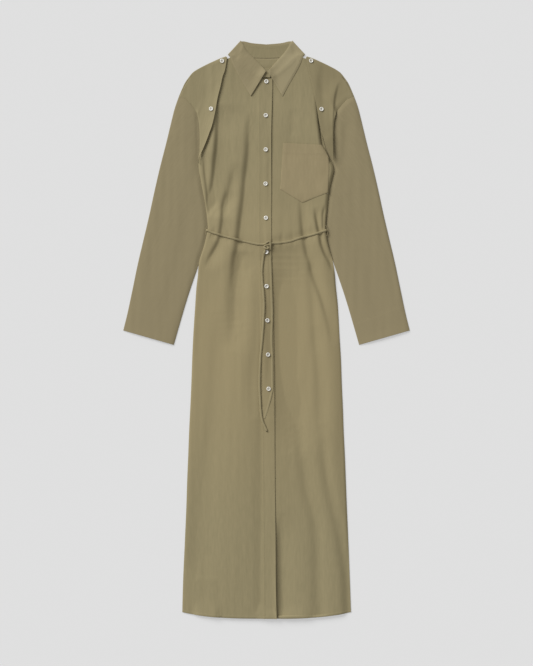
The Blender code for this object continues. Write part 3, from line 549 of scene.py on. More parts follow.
def panel_lines(inside, outside, shares, side):
    """Lines across a shoulder panel, bent like the shoulder's fold near it."""
    fold = edge_curve(SHOULDER_FOLD, PANEL_COLUMNS, side)
    bend = fold - ruled(fold[:1], fold[-1:], PANEL_COLUMNS)[0]
    lines = ruled(sampled(inside, shares), sampled(outside, shares), PANEL_COLUMNS)
    lines += bend * ((1 - shares) ** 2)[:, None, None]
    lines[0] = fold
    return lines


def hidden_panel(side):
    """The back of a shoulder panel, flat on the floor."""
    seam = on_side(ARMHOLE, side) + (-side * SEAM_GAP, SEAM_GAP)
    lines = panel_lines(on_side(HIDDEN_PANEL_EDGE, side), seam, np.linspace(0, 1, HIDDEN_ROWS), side)
    return np.dstack([lines, np.full(lines.shape[:2], CLOTH / 2)])


def leaf_rows(table, rows, columns, side=1):
    """Lines across the collar, from a table of inner and outer points in mm."""
    curve = smooth(np.array(table, float) * MM, 10) * (side, 1, side, 1)
    curve = sampled(curve, np.linspace(0, 1, rows))
    return ruled(curve[:, :2], curve[:, 2:], columns)


def behind_neck(table):
    """The flat lines behind the neck, from side to side."""
    half, other = (leaf_rows(table, NECK_ROWS, STAND_COLUMNS, side) for side in (1, -1))
    return np.concatenate([half, other[::-1][1:]])


for side in (1, -1):
    stamp("hidden_panels", hidden_panel(side))
flat = behind_neck(COLLAR_BACK)
collar_behind = np.dstack([flat, np.full(flat.shape[:2], COLLAR_CLOTH / 2)])
stamp("collar_behind", collar_behind, COLLAR_CLOTH / 2)
half = smooth(np.array(BELT_BACK_RUN) * MM)
belt_behind = np.concatenate([half, half[::-1][1:] * (-1, 1)])
behind_z = read(bridged(["sleeves"]), belt_behind) + CLEAR + BELT_HEIGHT / 2
belt_behind = np.column_stack([belt_behind, behind_z])
wide = np.array([0, BELT_WIDTH / 2, 0])
stamp("belt_behind", np.stack([belt_behind - wide, belt_behind, belt_behind + wide], 1), BELT_HEIGHT / 2)
UNDER_BODY = ["sleeves", "hidden_panels", "collar_behind", "belt_behind"]

# ---------------------------------------------------------------------------
# The back: one long panel from the shoulders to the hem, straight down the sides, flat on the
# floor below the waist. It is sewn to the fronts at its sides.
BACK_SIDES = [(632, -129, 129), (551, -124, 124), (508, -126, 126), (440, -140, 140), (412, -152, 152)]
BACK_SIDES += FRONT_SIDES[7:]
BACK_TOP = [
    (-129, 632), (-90, 651), (-76, 655), (-45, 649.5), (0, 648), (45, 649.5), (76, 655), (90, 651),
    (129, 632),
]
HEM_Y, HEM_DIP = -678 * MM, 15 * MM
HEM_BAND, TURNED_HEM = 7 * MM, 0.35 * MM
HEM_ROWS = HEM_Y + np.array([0, 2.2, 4.4, 5.8, 7, 8.2, 10, 13]) * MM
DIP_FROM_Y, UNDERARM_Y, SHOULDER_Y = -450 * MM, 390 * MM, 632 * MM
ROWS_BELOW_ARM, ROWS_BY_ARM, BACK_COLUMNS = 206, 56, 84
LIMP = 0.12  # the slope at which cloth that lies close leaves a step


def body_grid(top, left_edge, right_edge, columns):
    """The flat points of a body panel, from the hem to the shoulder, between two edges."""
    half = column(FRONT_SIDES, 2)
    rows = np.concatenate([HEM_ROWS, np.linspace(HEM_ROWS[-1], UNDERARM_Y, ROWS_BELOW_ARM)[1:]])
    below = ruled(np.stack([left_edge(rows), rows], 1), np.stack([right_edge(rows), rows], 1), columns)
    near_hem = np.clip((DIP_FROM_Y - rows) / (DIP_FROM_Y - HEM_Y), 0, 1)[:, None]
    below[..., 1] -= HEM_DIP * near_hem * (1 - np.abs(below[..., 0] / half(rows)[:, None]) ** 3)
    share = (np.arange(1, ROWS_BY_ARM + 1) / ROWS_BY_ARM)[:, None]
    reach = (UNDERARM_Y + share * (SHOULDER_Y - UNDERARM_Y))[:, 0]
    by_arm = ruled(np.stack([left_edge(reach), reach], 1), np.stack([right_edge(reach), reach], 1), columns)
    top_curve = smooth(top) * MM
    top_y = np.interp(by_arm[..., 0], top_curve[:, 0], top_curve[:, 1])
    by_arm[..., 1] = UNDERARM_Y + share * (top_y - UNDERARM_Y)
    return np.concatenate([below, by_arm])


def hem_rise(grid):
    """The turned-up hem is a second layer, so its upper face stands a little higher."""
    above = np.full(len(grid), 1.0)
    above[: len(HEM_ROWS)] = (HEM_ROWS - HEM_Y) / HEM_BAND
    return TURNED_HEM * np.clip(3 - 3 * above, 0, 1)[:, None]


back_flat = body_grid(BACK_TOP, column(BACK_SIDES, 1), column(BACK_SIDES, 2), BACK_COLUMNS)
back_grid = np.dstack([back_flat, read(bridged(UNDER_BODY, LIMP), back_flat) + CLEAR + CLOTH / 2])
stamp("back", back_grid)
back = cloth_piece("back", back_grid, back_flat)

# ---------------------------------------------------------------------------
# The two fronts. The left one runs on under the button strip, and the right one ends at the
# strip's seam. The cloth lies in a few long folds from the shoulders to the belt and below.
FRONT_TOP = [
    (-131, 632), (-109, 643), (-90, 651), (-78, 656), (-68, 645), (-49, 627), (-25, 609), (0, 601),
    (25, 609), (49, 627), (68, 645), (78, 656), (90, 651), (109, 643), (128, 632),
]
STRIP = [  # height, seam, free edge
    (602, -18.7, 14.4), (545, -18.6, 12.9), (485, -18.6, 11.5), (431, -18.2, 11.4), (330, -18.0, 11.9),
    (212, -18.0, 11.8), (85, -15.6, 14.6), (0, -14.0, 16.8), (-97, -12.6, 18.5), (-224, -10.8, 19.5),
    (-311, -9.6, 20.0), (-404, -8.4, 20.8), (-500, -7.4, 21.9), (-610, -6.4, 22.6), (-700, -6.0, 25.2),
]
LOFT = [  # height, and how far the cloth is lifted on the wearer's right and left
    (-700, 5.6, 4.4), (-300, 9, 4.5), (-100, 12, 4.5), (120, 11, 4.5), (235, 7.2, 4.5), (632, 9.5, 4.5),
]
LOFT_FALLS = (60 * MM, 80 * MM)  # how far to the left the lift of the right holds, and then fades over
LOFT_FROM_SIDE = [  # height, and how soon it is reached from the wearer's right side and left side
    (-700, 130, 40), (-100, 150, 34), (100, 140, 34), (230, 48, 14), (300, 36, 9), (632, 36, 9),
]
LOFT_FROM_TOP = (590 * MM, 150 * MM)
LOFT_AT_HEM, LOFT_FROM_HEM = 0.85, 3 * MM
EDGE_TURN = 1.5 * MM  # the side seams' own loft is reached this soon
EDGE_LOFT = [  # height, and the side seams' loft on the wearer's right and left
    (-700, 0.8, 2.6), (-100, 1.0, 1.4), (120, 1.2, 2.6), (200, 1.2, 2.4), (236, 1.0, 1.6), (300, 1.4, 1.1),
    (380, 2.4, 0.9), (440, 2.6, 1.2), (500, 2.0, 2.0), (560, 1.0, 1.0), (632, 0.6, 0.8),
]
CHEST_CREASES = [
    Crease(
        [
            (-120, 540), (-120, 522), (-119.5, 503), (-120.5, 467), (-123, 431), (-126.5, 400), (-129.5, 371),
            (-133.5, 335), (-138, 300), (-142, 272),
        ],
        7.4, 7, 50, 0.2, 0.15,
    ),
    Crease(
        [(-155, 425), (-152, 407), (-149, 371), (-144.5, 335), (-142.5, 310), (-141, 290)],
        3.8, 4, 16, 0.3, 0.1,
    ),
    Crease(
        [
            (-44, 522), (-45, 503), (-47.2, 467), (-47.5, 431), (-50.5, 395), (-55.4, 359), (-58.5, 323),
            (-62.5, 287), (-67, 251), (-71.5, 215), (-75, 191), (-80, 171.6), (-86, 120), (-89, 80),
        ],
        6.6, 9, 48, 0.25, 0.35,
    ),
    Crease([(-79, 400), (-84.5, 371), (-94, 335), (-100, 305), (-105, 275)], 3.4, 9, 18, 0.4, 0.4),
    Crease(
        [
            (-96, 335), (-103, 310), (-107.5, 292), (-107.5, 270), (-111, 240), (-116, 215), (-128, 191),
            (-139.4, 171.6), (-150, 147.6),
        ],
        4.8, 6.5, 20, 0.3, 0.3,
    ),
    Crease([(57.6, 530), (57.6, 464)], 0.8, 9, 16),
    Crease([(123.5, 505), (128.5, 479), (132.5, 455), (133.5, 438)], 2.4, 3, 7, 0.5, 0.08),
    Crease(
        [
            (73.2, 323), (78.7, 299), (80.4, 275), (82.3, 251), (84.7, 227), (89.5, 203), (94.3, 179),
            (100.8, 162), (107.5, 131), (121.2, 95), (133.2, 59), (142.8, 23), (154.8, -37),
        ],
        5.0, 7, 17, 0.25, 0.4,
    ),
    Crease([(94.8, 162), (99.6, 119), (104.4, 71), (109.2, -1), (114, -60)], 1.8, 9, 14, 0.3, 0.3),
    Crease([(106, 10), (111, -49), (119, -121), (120, -217), (122, -260)], 2.6, 13, 20, 0.3, 0.3),
    Crease(
        [
            (114, 292), (115.7, 275), (120, 251), (125.3, 227), (129.6, 203), (138.7, 179), (148.8, 162),
            (158, 135),
        ],
        5.8, 4, 8, 0.25, 0.3,
    ),
    Crease([(137, 296), (133.8, 275), (133.2, 251), (134.2, 236)], 3.0, 3, 3.5, 0.3, 0.1),
]
SKIRT_CREASES = [
    Crease([(-73, 190), (-76, 150), (-86, 68), (-89, -6), (-97, -49)], 6.4, 17, 40, 0.2, 0.5),
    Crease(
        [
            (-121, 47), (-126, -25), (-136, -121), (-143, -217), (-157, -313), (-168, -409), (-174, -505),
            (-179, -601),
        ],
        2.6, 22, 44, 0.15, 0.1,
    ),
    Crease([(-27, 205), (-28, 71), (-34, -25), (-43, -121), (-40, -217)], 3.2, 17, 60, 0.3, 0.3),
    Crease([(0, 212), (-1, 71), (-3, -25), (-10, -121), (-20, -217)], 3.4, 19, 60, 0.25, 0.4),
    Crease(
        [(-24, -170), (-24, -313), (-25, -409), (-24, -505), (-22, -601), (-20, -685)],
        2.2, 15, 40, 0.2, 0.02,
    ),
    Crease([(24, 205), (25, 71), (26, -25), (28, -121), (33, -217), (46, -300)], 6.0, 28, 60, 0.3, 0.3),
    Crease([(58, -120), (64, -217), (74, -310)], 2.2, 14, 22, 0.4, 0.4),
    Crease([(26, -440), (27, -500), (28, -560), (29, -620), (30, -690)], 5.2, 11, 26, 0.4, 0.02),
    Crease(
        [
            (63.6, -229), (78, -313), (90, -397), (106, -457), (112, -517), (113, -560), (114, -610),
            (117, -690),
        ],
        3.4, 14, 19, 0.35, 0.02,
    ),
    Crease(
        [(123.6, -229), (131, -313), (148, -409), (169, -505), (184, -601), (188, -690)],
        3.4, 12, 15, 0.3, 0.02,
    ),
    Crease([(-178, -690), (-150, -694), (-108, -698)], -3.6, 5, 26, 0.3, 0.3),
    Crease([(26, -700), (60, -699), (112, -694)], -2.6, 5, 22, 0.3, 0.3),
]
PUCKERS = [  # short ones where the belt draws the cloth in
    Crease([(-52, 238), (-51, 224), (-53, 210)], 0.7, 3, 4),
    Crease([(-31, 232), (-33, 214), (-31, 196)], 0.6, 3, 4),
    Crease([(-96, 238), (-93, 224), (-95, 208)], 0.8, 4, 4),
    Crease([(-126, 246), (-128, 232), (-126, 214)], 0.9, 4, 4),
    Crease([(36, 236), (33, 214), (36, 190)], 0.8, 4, 5),
    Crease([(58, 240), (61, 216), (62, 192)], 0.6, 4, 4),
    Crease([(104, 252), (107, 232), (111, 210)], 0.7, 4, 4),
]
BELT_LEFT_RUN = [(9.2, 206), (20, 207), (34, 208), (58, 212), (84, 221), (109, 227), (134, 235)]
BELT_RIGHT_RUN = [(-5.0, 204), (-22, 205), (-46, 210), (-67, 215), (-101, 224), (-134, 234)]
FRONT_CREASES = CHEST_CREASES + SKIRT_CREASES + PUCKERS
FRONT_CREASES += [Crease(run, 1.2, 8, 8, 0.02, 0.02) for run in (BELT_LEFT_RUN, BELT_RIGHT_RUN)]

FRONT_COLUMNS = 76
UNDER_STRIP, OVER_SEAM = 2 * MM, 3 * MM  # how far inside the strip's seam each front ends
TUCK = [(-690, 1.2), (-560, 0.8), (-420, 0.2), (-300, 0), (200, 0), (560, 0.8)]  # height, mm
TUCK_REACH = 16 * MM  # the left front is held down this far on each side of the strip's free edge

seam_x, edge_x = column(STRIP, 1), column(STRIP, 2)
left_side, right_side = column(FRONT_SIDES, 1), column(FRONT_SIDES, 2)


def front_lift(x, y, seed):
    """How far the front stands off what it lies on, folds and all."""
    half = np.where(x < 0, -left_side(y), right_side(y))
    inside = np.maximum(half - np.abs(x), 0)
    reach = np.where(x < 0, column(LOFT_FROM_SIDE, 1)(y), column(LOFT_FROM_SIDE, 2)(y))
    from_left = np.sin(np.clip(inside / reach, 0, 1) * math.pi / 2)
    from_side = np.where(x < 0, smooth_step(0.15 + 0.85 * inside / reach), from_left)
    from_top = smooth_step((LOFT_FROM_TOP[0] - y) / LOFT_FROM_TOP[1])
    hem = HEM_Y - HEM_DIP * (1 - np.clip(np.abs(x) / half, 0, 1) ** 3)
    from_hem = LOFT_AT_HEM + (1 - LOFT_AT_HEM) * np.clip((y - hem) / LOFT_FROM_HEM, 0, 1)
    at_edge = np.where(x < 0, column(EDGE_LOFT, 1)(y), column(EDGE_LOFT, 2)(y))
    high, low = column(LOFT, 1)(y), column(LOFT, 2)(y)
    loft = low + (high - low) * np.clip((LOFT_FALLS[0] - x) / LOFT_FALLS[1], 0, 1)
    loft = (loft * from_side * from_top + at_edge * (1 - np.exp(-inside / EDGE_TURN))) * from_hem
    return loft - crease_depth(x, y, FRONT_CREASES) + ripple(x, y, seed)


def fronts_on(flat, under, seed):
    """The heights of a front on these pieces."""
    eased = bridged([*UNDER_BODY, "back"], steepest=0.045, reach=90 * MM, passes=10)
    eased = read(eased, flat) + front_lift(flat[..., 0], flat[..., 1], seed)
    return np.maximum(eased, read(bridged([*UNDER_BODY, *under], LIMP), flat)) + CLEAR + CLOTH / 2


left_flat = body_grid(FRONT_TOP, lambda y: seam_x(y) + UNDER_STRIP, right_side, FRONT_COLUMNS)
x, y = left_flat[..., 0], left_flat[..., 1]
tuck = np.interp(y, *np.array(TUCK).T * MM) * np.exp(-(((x - edge_x(y)) / TUCK_REACH) ** 2))
on_back = read(bridged(["back"], LIMP), left_flat) + CLEAR + CLOTH / 2
z = np.maximum(fronts_on(left_flat, ["back"], 21) - tuck, on_back)
left_front_grid = np.dstack([left_flat, z + hem_rise(left_flat)])
stamp("front_left", left_front_grid)
front_left = cloth_piece("front_left", left_front_grid, left_flat)

right_flat = body_grid(FRONT_TOP, left_side, lambda y: seam_x(y) + OVER_SEAM, FRONT_COLUMNS)
z = fronts_on(right_flat, ["back", "front_left"], 22) + hem_rise(right_flat)
right_front_grid = np.dstack([right_flat, z])
stamp("front_right", right_front_grid)
front_right = cloth_piece("front_right", right_front_grid, right_flat)

# ---------------------------------------------------------------------------
# The button strip: a doubled band on the right front, over the left one, from the stand to
# the hem. Its free edge stands up a little, most of all near the hem where no button holds it.
STRIP_COLUMNS = 18
STRIP_CLOTH, ON_SEAM = 0.9 * MM, 0.15 * MM  # its middle lies this high over the right front's
STRIP_RISE = (  # height, mm
    (-700, 3.4), (-640, 3.6), (-600, 3.4), (-520, 1.8), (-450, 0.6), (-380, 0.3), (0, 0), (300, 0.2),
    (450, 1.6), (530, 1.2), (560, 0.5),
)
strip_flat = body_grid(FRONT_TOP, seam_x, edge_x, STRIP_COLUMNS)
share = np.linspace(0, 1, STRIP_COLUMNS)[None]
on_left = bridged([*UNDER_BODY, "back", "front_left"], reach=8 * MM, passes=2)
on_left = read(on_left, strip_flat) + CLEAR + STRIP_CLOTH / 2
at_seam = right_front_grid[:, -1:, 2] + ON_SEAM
z = at_seam + (on_left - at_seam) * smooth_step(share * 1.6)
rise = np.interp(strip_flat[..., 1], *np.array(STRIP_RISE).T * MM) * share**4
strip_grid = np.dstack([strip_flat, z + rise + 0.5 * hem_rise(strip_flat)])
stamp("placket", strip_grid, STRIP_CLOTH / 2)
placket = cloth_piece("placket", strip_grid, strip_flat, thickness=STRIP_CLOTH)

# ---------------------------------------------------------------------------
# The patch pocket on the left chest: one layer with turned edges and a deeper hem at its
# mouth. It is cut away at the armhole and comes to a point below.
POCKET_LEFT = [(40, 447), (36.5, 390), (33, 336)]
POCKET_RIGHT = [(132, 442), (141, 428), (148.6, 413), (150, 385), (147, 328)]
POCKET_FOOT = [(33, 336), (86, 304), (147, 328)]
POCKET_ROWS, POCKET_COLUMNS = 60, 56
POCKET_WIDTH, POCKET_LENGTH = 112 * MM, 125 * MM  # on average
POCKET_PUFF, PUFF_REACH, POCKET_HEM, POCKET_SUNK = 0.8 * MM, 9 * MM, 28 * MM, 0.25 * MM
MOUTH_HEM_RISE, MOUTH_HEM_SHARE = 0.2 * MM, 0.24
left = sampled(np.array(POCKET_LEFT) * MM, np.linspace(0, 1, POCKET_ROWS))
right = sampled(np.array(POCKET_RIGHT) * MM, np.linspace(0, 1, POCKET_ROWS))
foot = sampled(np.array(POCKET_FOOT) * MM, np.linspace(0, 1, POCKET_COLUMNS))
pocket_flat = ruled(left, right, POCKET_COLUMNS)
drop = foot - ruled(foot[:1], foot[-1:], POCKET_COLUMNS)[0]
pocket_flat += drop * (np.linspace(0, 1, POCKET_ROWS)[:, None, None] ** 2)
x, y = pocket_flat[..., 0], pocket_flat[..., 1]
across = np.linspace(0, 1, POCKET_COLUMNS)[None]
down = np.linspace(0, 1, POCKET_ROWS)[:, None]
from_edge = np.minimum(np.minimum(across, 1 - across) * POCKET_WIDTH, (1 - down) * POCKET_LENGTH)
puff = POCKET_PUFF * (1 - np.exp(-from_edge / PUFF_REACH))
puff = puff + MOUTH_HEM_RISE * smooth_step((MOUTH_HEM_SHARE - down) / 0.02)
sunk = POCKET_SUNK * np.clip(1 - from_edge / (2 * MM), 0, 1)
z = read(bridged([*UNDER_BODY, "back", "front_left"], reach=8 * MM, passes=3), pocket_flat)
z = z + CLEAR / 2 + CLOTH / 2 - sunk
pocket_grid = np.dstack([pocket_flat, z + puff + ripple(x, y, 41)])
stamp("pocket", pocket_grid)
pocket = cloth_piece("pocket", pocket_grid, pocket_flat, pocket_cloth)

# ---------------------------------------------------------------------------
# The collar: a stand sewn to the neck, and a fall with two long pointed leaves that turns
# over it. Behind the neck the stand's inside shows, and the fall lies under it on the floor.
STAND_FRONT = [(6, 625, 6, 604), (15, 630, 24, 611), (29, 645, 48, 630), (47, 665, 66.5, 648)]
STAND_TURN = (57.5, 683, 76, 664)
STAND_BACK = [(52, 685, 64, 656), (32, 682, 42, 652.5), (0, 679.5, 0, 650.5)]
STAND_OVERLAP, STAND_CLOTH, STAND_ROWS = 9 * MM, 0.9 * MM, 26
STAND_LEAN, STAND_SUNK = 2.0, 0.3  # mm: behind the neck, how much its top edge stands up, and its seam sinks
LEFT_LEAF = [  # each row's point on the roll line, and on the outer edge
    (3.4, 619, 38.6, 559), (15, 633, 50, 580), (27.6, 647, 63, 603), (46, 668, 79, 632), (59, 689.5, 89, 657),
]
RIGHT_LEAF = [
    (-1.2, 619, -37.7, 560), (-13, 634, -50, 580), (-26, 647, -64, 603), (-46, 668, -79, 632),
    (-59, 689.5, -89, 657),
]
COLLAR_FOLD = (62.0, 692.6, 92.5, 659.5)
LEAF_ROWS, LEAF_COLUMNS = 48, 30
LEAF_FRONT_RISE = {1: (0.3 * MM, 3.0 * MM), -1: (1.5 * MM, 2.2 * MM)}  # at its tip, and more at the roll
LEAF_CROWN = {1: 0.3 * MM, -1: 0.8 * MM}
AT_ROLL = {1: 0.7 * MM, -1: 1.9 * MM}  # how far the leaf drops to its roll line
LEAF_EDGE_DROP = 0.7 * MM


def turned_over(above, below, middle, steps):
    """Lines round a soft fold, from the last line above it to the first one below it."""
    lines = []
    for angle in np.linspace(0, math.pi, steps + 2)[1:-1]:
        share = (1 - math.cos(angle)) / 2
        line = above * (1 - share) + below * share
        line[:, :2] += (middle - line[:, :2]) * math.sin(angle)
        lines.append(line)
    return np.array(lines)


def fold_line(ends, columns, side):
    """The line along a fold between its two ends, in mm."""
    return ruled(*on_side(np.reshape(ends, (2, 1, 2)), side), columns)[0]


flat = behind_neck(STAND_BACK)
z = read(bridged(["collar_behind"], reach=8 * MM, passes=3), flat) + CLEAR + CLOTH / 2
z = z + (STAND_LEAN * np.linspace(1, 0, STAND_COLUMNS)[None] ** 1.2 - STAND_SUNK) * MM
stand_behind = np.dstack([flat, z])
ends = []
stand_over = [*UNDER_BODY, "back", "front_left", "front_right", "placket"]
for side in (1, -1):
    front = leaf_rows(STAND_FRONT, STAND_ROWS, STAND_COLUMNS, side)
    front[:3, :, 0] += np.linspace(1, 0, 3)[:, None] * (-side * STAND_OVERLAP - front[:1, :, 0])
    rest = bridged(stand_over, reach=8 * MM, passes=3)
    front = np.dstack([front, read(rest, front) + CLEAR + CLOTH / 2])
    stamp("stand", front)
    stand_over = [*stand_over, "stand"]
    middle = fold_line(STAND_TURN, STAND_COLUMNS, side)
    ends.append((front, turned_over(front[-1], stand_behind[0 if side > 0 else -1], middle, 6)))
(left_front, left_turn), (right_front, right_turn) = ends
stand_grid = np.concatenate([left_front, left_turn, stand_behind, right_turn[::-1], right_front[::-1]])
stamp("stand", stand_behind)
grain = across_and_along(stand_grid, True)
collar_stand = cloth_piece("collar_stand", stand_grid, grain, thickness=STAND_CLOTH)

# The leaves rest on the stand and the fronts. The front edge of the wearer's right one is
# held off by the buttoned stand below it.
collar_under = [sampled(row, np.linspace(0, 1, LEAF_COLUMNS)) for row in collar_behind]
collar_over = bridged(stand_over, steepest=0.22, passes=5)
collar_parts = []
across = np.linspace(0, 1, LEAF_COLUMNS)[None]
along = np.linspace(0, 1, LEAF_ROWS)[:, None]
for side, table in ((1, LEFT_LEAF), (-1, RIGHT_LEAF)):
    flat = leaf_rows([(side * a, b, side * c, d) for a, b, c, d in table], LEAF_ROWS, LEAF_COLUMNS, side)
    at_tip, more = LEAF_FRONT_RISE[side]
    front_rise = (at_tip + more * (1 - across) ** 3) * np.exp(-((along / 0.13) ** 2))
    crown = LEAF_CROWN[side] * (across if side > 0 else 1 - across) * np.clip((1 - across) * 12, 0, 1)
    at_roll = AT_ROLL[side] * np.clip(1 - across * 9, 0, 1) ** 2
    z = read(collar_over, flat) + CLEAR + COLLAR_CLOTH / 2 + front_rise + crown - at_roll
    z -= LEAF_EDGE_DROP * np.clip(1 - (1 - across) * 12, 0, 1)
    leaf = np.dstack([flat, z])
    middle = fold_line(COLLAR_FOLD, LEAF_COLUMNS, side)
    collar_parts.append((leaf, turned_over(leaf[-1], collar_under[0 if side > 0 else -1], middle, 8)))
(left_leaf, left_fold), (right_leaf, right_fold) = collar_parts
collar_grid = np.concatenate([left_leaf, left_fold, collar_under, right_fold[::-1], right_leaf[::-1]])
collar = cloth_piece("collar", collar_grid, across_and_along(collar_grid, True), collar_cloth, COLLAR_CLOTH)

# ---------------------------------------------------------------------------
# The shoulder panels: each goes over the shoulder, lies on the front and the top of the
# sleeve, and is buttoned at the neck and the chest. Its inner edge is free, and its outer
# edge is a soft fold over the sleeve's seam.
RIGHT_PANEL_EDGE = [
    (-93.5, 655), (-96, 640), (-99.6, 621), (-105, 606), (-110, 583), (-116.4, 558), (-122.8, 522),
    (-130, 490), (-137, 470), (-144, 451), (-153, 430), (-161.5, 412), (-163.2, 399),
]
LEFT_PANEL_EDGE = [
    (94, 655), (97, 640), (100, 623), (109.5, 584), (118, 546), (122.5, 520), (127, 493), (136, 458),
    (149, 427), (162, 402),
]
PANEL_FOLD = [(162.5, 500), (160.3, 475), (159.9, 450), (160.3, 425), (161.6, 397)]
PANEL_ROWS, PANEL_INSET = 110, 3.0 * MM
PANEL_FREE_RISE = {-1: (4.4 * MM, 15 * MM), 1: (1.2 * MM, 50 * MM)}  # and how far in it fades
PANEL_FOLD_RISE = {-1: (0.8 * MM, 28 * MM), 1: (3.4 * MM, 60 * MM)}
SEAM_REACH, SEAM_SUNK, FOLD_DROP = 12 * MM, 0.2 * MM, 0.8 * MM
PANEL_CREASES = {
    "right": [
        Crease([(-150, 590), (-152, 540), (-150, 480)], 0.5, 9, 12),
        Crease([(-124, 610), (-132, 560), (-141, 490)], 0.5, 7, 12),
    ],
    "left": [
        Crease(
            [(164, 604), (158, 590), (152.5, 570), (149, 550), (147, 515), (146, 480), (146, 440)],
            -3.0, 16, 3.4, 0.25, 0.6,
        ),
        Crease([(122, 610), (128, 570), (131, 520), (140, 470)], 0.8, 8, 12),
        Crease([(146, 560), (148, 510), (152, 460)], 0.7, 6, 10),
    ],
}
panel_over = bridged([*UNDER_BODY, "back", "front_left", "front_right", "pocket"], steepest=0.16)
across = np.linspace(0, 1, PANEL_COLUMNS)[None]
shares = np.linspace(0, 1, PANEL_ROWS)
down = shares[:, None]
for hand, side, edge in (("right", -1, RIGHT_PANEL_EDGE), ("left", 1, LEFT_PANEL_EDGE)):
    seam = on_side(ARMHOLE[:4], side) + (-side * SEAM_GAP, SEAM_GAP)
    outer = np.concatenate([seam, on_side(PANEL_FOLD, side)])
    flat = panel_lines(smooth(np.array(edge) * MM), outer, shares, side)
    under = hidden_panel(side)
    fold = flat[0].copy()
    toward = np.array([0, 0.5]) - fold
    toward *= PANEL_INSET / np.linalg.norm(toward, axis=1)[:, None]
    flat[0] += toward
    under[0, :, :2] += toward
    width = np.linalg.norm(flat[:, 0] - flat[:, -1], axis=1)[:, None]
    rise, fades = PANEL_FREE_RISE[side]
    free = rise * np.exp(-across * width / fades)
    free = free * np.sin(math.pi * np.clip(down * 1.02, 0.05, 0.86)) ** 0.45
    below_seam = smooth_step((down - 0.27) / 0.08)
    from_fold = (1 - across) * width
    rise, fades = PANEL_FOLD_RISE[side]
    roll = rise * np.exp(-((from_fold / fades) ** 2)) * below_seam
    turn_down = FOLD_DROP * np.clip(1 - from_fold / (2 * MM), 0, 1) ** 2 * below_seam
    x, y = flat[..., 0], flat[..., 1]
    z = read(panel_over, flat) + CLEAR + CLOTH / 2 + free + roll - turn_down
    z += ripple(x, y, 31 + side) - crease_depth(x, y, PANEL_CREASES[hand])
    at_seam = np.clip(1 - from_fold / SEAM_REACH, 0, 1) * (1 - below_seam)
    z = z * (1 - at_seam) + (1.5 * CLOTH + CLEAR - SEAM_SUNK) * at_seam
    top = np.dstack([flat, np.maximum(z, CLOTH * 1.5)])
    stamp(f"panel_{hand}", top)
    uppers[f"panel_{hand}"] = top
    grid = np.concatenate([under[::-1], turned_over(under[0], top[0], fold, 6), top])
    panel = cloth_piece(f"shoulder_panel_{hand}", grid, across_and_along(grid), panel_cloth)

# ---------------------------------------------------------------------------
# The tie belt: a narrow tube turned from the dress's cloth and pressed. It goes once round the
# waist, under the back and over the sleeves, and is tied in a single knot with two free tails.
BELT_SIDE = (143.6, 238)
LONG_TAIL = [
    (-3.5, 189.8), (-7, 178), (-11.3, 141), (-9.8, 112), (-7.6, 88), (-6.2, 60), (-7.4, 24), (-10.4, -20),
    (-15, -70), (-16.8, -128), (-15.2, -172), (-12, -210), (-3.8, -233), (1.0, -243.5),
]
SHORT_TAIL = [
    (9.0, 192), (9.4, 171), (10.3, 137), (12.3, 71), (13.2, 40), (12.0, -20), (13.2, -60), (13.5, -115),
    (13.9, -140), (11.0, -156), (7.6, -170), (1.5, -193), (-5.4, -214),
]
STRAND_STEP, KNOT_STEP, STRAND_SIDES = 2.0 * MM, 0.8 * MM, 14
STRAND_SWELL = 0.035  # how uneven its width is
TURN_OUT, TURN_DROP = 0.4 * MM, 0.3 * MM  # how far it bulges where it turns round the side, and drops
OVER_KNOT = [  # x, y and height above the cloth: from the run on the wearer's right to the short tail
    (-7, 204.2, 1.0), (-2.4, 205.4, 1.8), (0.6, 208.0, 2.8), (4.2, 210.4, 3.4), (7.6, 210.2, 3.6),
    (9.6, 206.6, 3.4), (9.6, 201.4, 3.0), (9.2, 196, 2.2), (9.0, 190.5, 1.2),
]
UNDER_KNOT = [  # from the run on the wearer's left to the long tail
    (15, 206.6, 1.4), (10, 205.4, 1.6), (5, 203.0, 1.9), (0, 201.6, 2.8), (-4.4, 199.8, 3.9),
    (-5.8, 196.8, 4.4), (-2.6, 194.4, 4.8), (1.6, 193.0, 4.4), (4.6, 195.4, 3.2), (2.4, 198.0, 1.9),
    (-1.6, 195.6, 1.6), (-3.6, 190, 1.4),
]
KNOT_WIDTH, KNOT_HEIGHT = 4.3 * MM, 3.0 * MM
BELT_SUNK, LONG_TAIL_SUNK = 0.8 * MM, -0.1 * MM  # how far they are pressed into the cloth
BELT_TONES = ("#887e5f", "#968a69", "#968a69")
BODY_TOP = [*UNDER_BODY, "back", "front_left", "front_right", "placket"]
belt_cloth = cotton("washed_olive_cotton_belt", *BELT_TONES)


def evenly(points, step):
    """The smooth curve through points, with points this far apart."""
    curve = smooth(points, 12)
    length = np.linalg.norm(np.diff(curve, axis=0), axis=1).sum()
    return sampled(curve, np.linspace(0, 1, max(3, round(length / step) + 1)))


